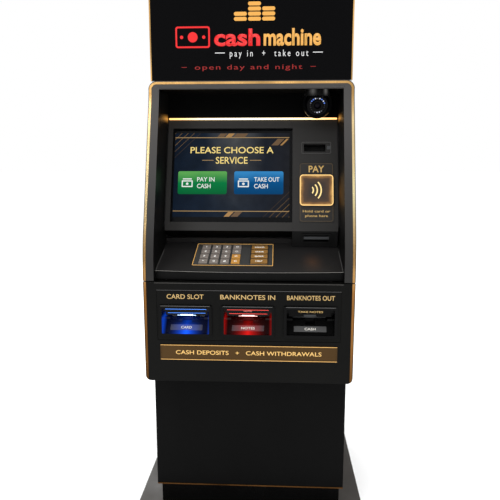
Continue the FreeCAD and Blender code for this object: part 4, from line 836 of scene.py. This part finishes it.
def make_slots():
    """Headings, lamps and label plates of the three slots."""
    # The headings and brow words glow: painted light on print with no lamp behind it.
    label = lit("label_ink", linear(222, 184, 112), 1.0)
    fine = lit("slot_ink", linear(232, 228, 220), 1.1)
    glows = {"card": lit("card_glow", linear(70, 140, 255), 2.2),
             "note": lit("note_glow", linear(255, 70, 60), 1.9)}
    hot = {"card": lit("card_hot", linear(190, 220, 255), 5.0),
           "note": lit("note_hot", linear(255, 196, 190), 4.0)}
    plates = {"card": lip_plate("card", linear(26, 70, 180)), "note": lip_plate("note", linear(160, 24, 24)),
              "cash": painted("cash_plate", linear(74, 74, 74), 0.4)}
    # Painted highlight along the top edge of each slot's bezel.
    edge = lit("slot_edge_highlight", linear(120, 118, 116), 0.35, linear(90, 90, 90))
    words = {"card": ("CARD SLOT", 89, "CARD"), "note": ("BANKNOTES IN", 131, "NOTES"),
             "cash": ("BANKNOTES OUT", 113, "CASH")}
    brow_words = {"note": ("NOTES", 3.4, lit("note_word", linear(255, 150, 140), 0.9), 20),
                  "cash": ("TAKE NOTES", 4.2, label, 60)}
    board = Surface("lower_fascia", UPRIGHT)
    for kind, (heading, wide, short) in words.items():
        slot = Surface(f"{kind}_bezel", UPRIGHT)
        x, up = slot.middle.x, slot.middle.y
        fascia = slot.high.z - 3 * MM
        board.put(lettering(f"label_{kind}", heading, 11 * MM, label, wide * MM, 0.008), x, up + 60 * MM,
                  fascia - 1.5 * MM + SKIN)
        size = slot.high - slot.low
        slot.put(plaque(f"{kind}_edge", size.x - 10 * MM, 0.7 * MM, 0.3 * MM, INK, edge), x,
                 slot.high.y - 1.6 * MM, slot.high.z + SKIN)
        lip = (slot.turn @ Matrix.Translation((x, up - LIP_DROP, fascia - LIP_DEPTH))
               @ Matrix.Rotation(math.radians(-LIP_SLOPE), 4, "X"))
        plate = plaque(f"lip_plate_{kind}", 78 * MM, 15 * MM, 1 * MM, 0.5 * MM, plates[kind])
        word = lettering(f"lip_word_{kind}", short, 6.2 * MM, fine, 6.6 * len(short) * MM, 0.01)
        for piece, lift in ((plate, 0.3), (word, 1.0)):
            piece.matrix_world = lip @ Matrix.Translation((0, -4 * MM, lift * MM))
            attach(piece, slot.body)
        if kind in brow_words:
            words_above, high, ink, long = brow_words[kind]
            slot.put(lettering(f"brow_word_{kind}", words_above, high * MM, ink, long * MM, 0.01), x,
                     up + 23.2 * MM, fascia - 12 * MM + SKIN)
        if kind in glows:
            for n, (half, rise, back) in enumerate(((50, 27.0, 8.0), (46, 14.6, 19.0))):
                bar = plaque(f"{kind}_glow_{n}", 2 * half * MM, 0.7 * MM, 0.3 * MM, 0.6 * MM, glows[kind])
                slot.put(bar, x, up + rise * MM, fascia - back * MM)
            slot.put(plaque(f"{kind}_hot", 46 * MM, 2.4 * MM, 1.1 * MM, 0.6 * MM, hot[kind]), x,
                     up + 9.0 * MM, fascia - 22.0 * MM)


def make_edge_lines():
    """Light caught by the crisp front edges of the fascia, the shelf and the ticket slot's rim."""
    pale = lit("edge_light", linear(150, 146, 140), 0.3, linear(60, 58, 56))
    bright = lit("shelf_light", linear(190, 186, 180), 0.45, linear(110, 108, 104))
    dim = lit("rim_light", linear(96, 94, 92), 0.5, linear(70, 70, 70))
    wall = Surface("control_column", PANEL_TILT)
    pad = Surface("contact_reader", PANEL_TILT)
    outlet = pad.low.y + 197.5 * MM
    wall.put(border("ticket_rim_line", 76 * MM, 31 * MM, 3 * MM, 0.7 * MM, INK, dim),
             pad.middle.x, outlet, wall.high.z + SKIN)
    wall.put(plaque("ticket_lamp", 9 * MM, 9 * MM, 1 * MM, 0.6 * MM, bar_grey),
             pad.middle.x + 32 * MM, outlet, wall.high.z + SKIN)
    board = Surface("lower_fascia", UPRIGHT)
    cheek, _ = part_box("right_cheek")
    board.put(plaque("fascia_top_line", 2 * cheek.x - 2 * MM, 0.6 * MM, 0.3 * MM, INK, pale), 0,
              board.high.y - 2.4 * MM, board.high.z + SKIN)
    tray = Surface("shelf", SHELF_TILT)
    half = (tray.high.x - tray.low.x) / 2 - 1 * MM

    def bowed(made):
        count = 24
        xs = [half * (2 * n / count - 1) for n in range(count + 1)]
        lower = [(px, 6 * MM * (px / half) ** 2) for px in xs]
        extrude(made, lower + [(px, py + 1.0 * MM) for px, py in reversed(lower)], 0, INK)

    points = [tray.own(v.co) for v in nodes["shelf"].data.vertices]
    deck = max(p.z for p in points if p.y < tray.low.y + 30 * MM)
    tray.put(mesh_piece("shelf_front_line", bowed, bright),
             tray.middle.x, tray.low.y + 1.8 * MM, deck + SKIN)
    for n, side in enumerate((-1, 1)):
        tray.put(plaque(f"shelf_side_line_{n}", 0.7 * MM, 112 * MM, 0.3 * MM, INK, dim),
                 tray.middle.x + side * (half - 1 * MM), tray.low.y + 66 * MM, deck + SKIN)
    slot = Surface("card_bezel", UPRIGHT)
    board.put(plaque("field_top_line", 440 * MM, 0.6 * MM, 0.2 * MM, INK, dim),
              0, slot.middle.y + 75.6 * MM, board.high.z + SKIN)


def make_name_plate():
    plate = Surface("name_plate", UPRIGHT)
    # The words glow: painted light on print with no lamp behind it.
    ink = lit("name_plate_ink", linear(206, 168, 96), 0.7, linear(190, 150, 84))
    out = plate.high.z - 0.8 * MM + SKIN
    words = "CASH DEPOSITS   +   CASH WITHDRAWALS"
    plate.put(lettering("name_plate_words", words, 10 * MM, ink, 352 * MM, 0.008),
              plate.middle.x, plate.middle.y, out)
    size = plate.high - plate.low
    for n, side in enumerate((-1, 1)):
        plate.put(plaque(f"name_plate_edge_{n}", size.x - 1 * MM, 1.2 * MM, 0.5 * MM, 0.4 * MM, painted_gold_highlight),
                  plate.middle.x, plate.middle.y + side * (size.y / 2 - 1.0 * MM), plate.high.z + SKIN)


# ---- camera -------------------------------------------------------------------------------

BALL_RADIUS = 31 * MM
GAZE_DROP = 22                  # degrees that the camera looks down
LAMP_RING = 18 * MM             # radius of the ring of lamps round the lens
LAMPS = 20


def make_camera_details():
    """Lens, and a ring of lamps round it, on the camera's ball; the lit beads are partly lamps and partly
    painted glints.
    """
    low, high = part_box("camera_ball")
    centre = Vector(((low.x + high.x) / 2, high.y - BALL_RADIUS, high.z - BALL_RADIUS))
    view = Matrix.Translation(centre) @ Matrix.Rotation(math.radians(90 + GAZE_DROP), 4, "X")
    glass = Shader("lens_glass", linear(5, 6, 12), 0.12, specular=0.05)
    glass.tint(glass.mix(glass.noise(30.0), linear(3, 4, 9), linear(12, 8, 18)))

    def lens(made):
        bmesh.ops.create_uvsphere(made, u_segments=32, v_segments=16, radius=8.6 * MM)
        bmesh.ops.delete(made, geom=[v for v in made.verts if v.co.z < -1 * MM], context="VERTS")
        for v in made.verts:
            v.co.z *= 0.55

    piece = mesh_piece("camera_lens", lens, glass, True)
    piece.matrix_world = view @ Matrix.Translation((0, 0, 14.6 * MM))
    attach(piece, "camera_ball")
    # The lit beads are partly lamps and partly painted glints of light on the ring.
    blue = lit("camera_lamp_blue", linear(90, 140, 255), 0.9, linear(60, 70, 110))
    white = lit("camera_lamp_white", linear(226, 232, 250), 0.8, linear(120, 120, 130))
    faint = lit("camera_lamp_faint", linear(120, 122, 130), 0.45, linear(60, 60, 66))
    dark = painted("camera_lamp_dark", linear(24, 24, 28), 0.1, specular=0.8)
    lamps = {1: blue, 2: white, 3: blue, 4: white, 5: faint, 6: white, 7: blue, 8: blue, 9: faint,
             14: faint, 15: white, 16: white, 17: faint}

    def bulb(made):
        bmesh.ops.create_uvsphere(made, u_segments=12, v_segments=8, radius=1.7 * MM)

    for n, (x, y) in enumerate(disc(LAMP_RING, LAMPS)):
        piece = mesh_piece(f"camera_led_{n}", bulb, lamps.get(n, dark), True)
        piece.matrix_world = view @ Matrix.Translation((x, y, 16 * MM))
        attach(piece, "camera_ball")


# ---- labels on the devices inside ---------------------------------------------------------

def make_device_labels():
    print_ink = painted("label_print", linear(22, 22, 22), 0.6)
    for name, words, wide, drop in (("card_reader", "CARD READER", 42, 40),
                                    ("note_acceptor", "NOTE ACCEPTOR", 46, 40),
                                    ("cash_cassette", "CASSETTE", 32, 24)):
        back = Surface(name, UPRIGHT, flip=True)
        x, up, out = back.middle.x, back.high.y - drop * MM, back.high.z + SKIN
        back.put(plaque(f"label_sheet_{name}", (wide + 10) * MM, 15 * MM, 1.5 * MM, INK, paper), x, up, out)
        back.put(lettering(f"label_words_{name}", words, 4 * MM, print_ink, wide * MM),
                 x, up + 2 * MM, out + INK)
        back.put(plaque(f"label_line_{name}", wide * MM, 0.8 * MM, 0.2 * MM, INK, print_ink),
                 x, up - 4 * MM, out + INK)


# ---- stage --------------------------------------------------------------------------------

def make_stage():
    """Pale floor, a white world that glossy surfaces hardly see, and four soft lamps."""
    floor = painted("floor_paint", (0.95, 0.95, 0.95, 1.0), 0.7, grain=60.0, bump=0.01, specular=0.0)
    floor.tint(floor.mix(floor.noise(2.0, 2.0), (0.94, 0.94, 0.94, 1.0), (0.96, 0.96, 0.96, 1.0)))

    def ground(made):
        bmesh.ops.create_circle(made, cap_ends=True, segments=96, radius=40.0)

    mesh_piece("floor", ground, floor)

    world = bpy.data.worlds.new("studio")
    bpy.context.scene.world = world
    world.use_nodes = True
    tree = world.node_tree
    seen, felt = tree.nodes["Background"], tree.nodes.new("ShaderNodeBackground")
    shine = tree.nodes.new("ShaderNodeBackground")
    for background, strength in ((seen, 1.0), (felt, 1.1), (shine, 0.2)):
        background.inputs["Color"].default_value = (1, 1, 1, 1)
        background.inputs["Strength"].default_value = strength
    path = tree.nodes.new("ShaderNodeLightPath")
    last = felt
    for ray, over in (("Is Glossy Ray", shine), ("Is Camera Ray", seen)):
        choose = tree.nodes.new("ShaderNodeMixShader")
        tree.links.new(path.outputs[ray], choose.inputs["Fac"])
        tree.links.new(last.outputs[0], choose.inputs[1])
        tree.links.new(over.outputs[0], choose.inputs[2])
        last = choose
    tree.links.new(last.outputs[0], tree.nodes["World Output"].inputs["Surface"])

    aim = Vector((0, 0, 0.75))
    for name, place, size, power in (
        ("key_light", (-1.9, -2.3, 2.6), 1.6, 34),
        ("fill_light", (2.4, -1.6, 1.6), 1.4, 18),
        ("top_light", (0.0, 0.3, 3.6), 2.4, 60),
        ("back_light", (-1.0, 3.2, 2.2), 1.8, 50),
    ):
        lamp = bpy.data.lights.new(name, "AREA")
        lamp.size = size
        lamp.energy = power
        holder = bpy.data.objects.new(name, lamp)
        holder.location = place
        holder.rotation_mode = "QUATERNION"
        holder.rotation_quaternion = (Vector(place) - aim).to_track_quat("Z", "Y")
        bpy.context.scene.collection.objects.link(holder)


# Where the photographer stood, fitted to the photograph's perspective.
LENS = 39.62
SENSOR = 36.0
EYE_RIGHT = 66.5 * MM           # of the machine's middle
EYE_AWAY = 1332.5 * MM          # from the pedestal's front
EYE_UP = 853.1 * MM             # from the pedestal's foot
LOOK_DOWN = 9.4                 # degrees
LOOK_LEFT = 2.81


def make_camera():
    camera = bpy.data.cameras.new("camera")
    camera.lens = LENS
    camera.sensor_width = SENSOR
    holder = bpy.data.objects.new("camera", camera)
    shell_low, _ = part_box("cabinet_shell")
    holder.location = (EYE_RIGHT, shell_low.y - EYE_AWAY, shell_low.z + EYE_UP)
    holder.rotation_euler = (math.radians(90 - LOOK_DOWN), 0, math.radians(LOOK_LEFT))
    bpy.context.scene.collection.objects.link(holder)
    bpy.context.scene.camera = holder


dress_parts()
make_camera()
make_stage()
paint_insides()
make_sign()
make_screen()
make_reader()
make_key_legends()
make_keypad_border()
make_slots()
make_name_plate()
make_edge_lines()
make_camera_details()
make_device_labels()
bpy.context.scene.view_settings.view_transform = "Standard"
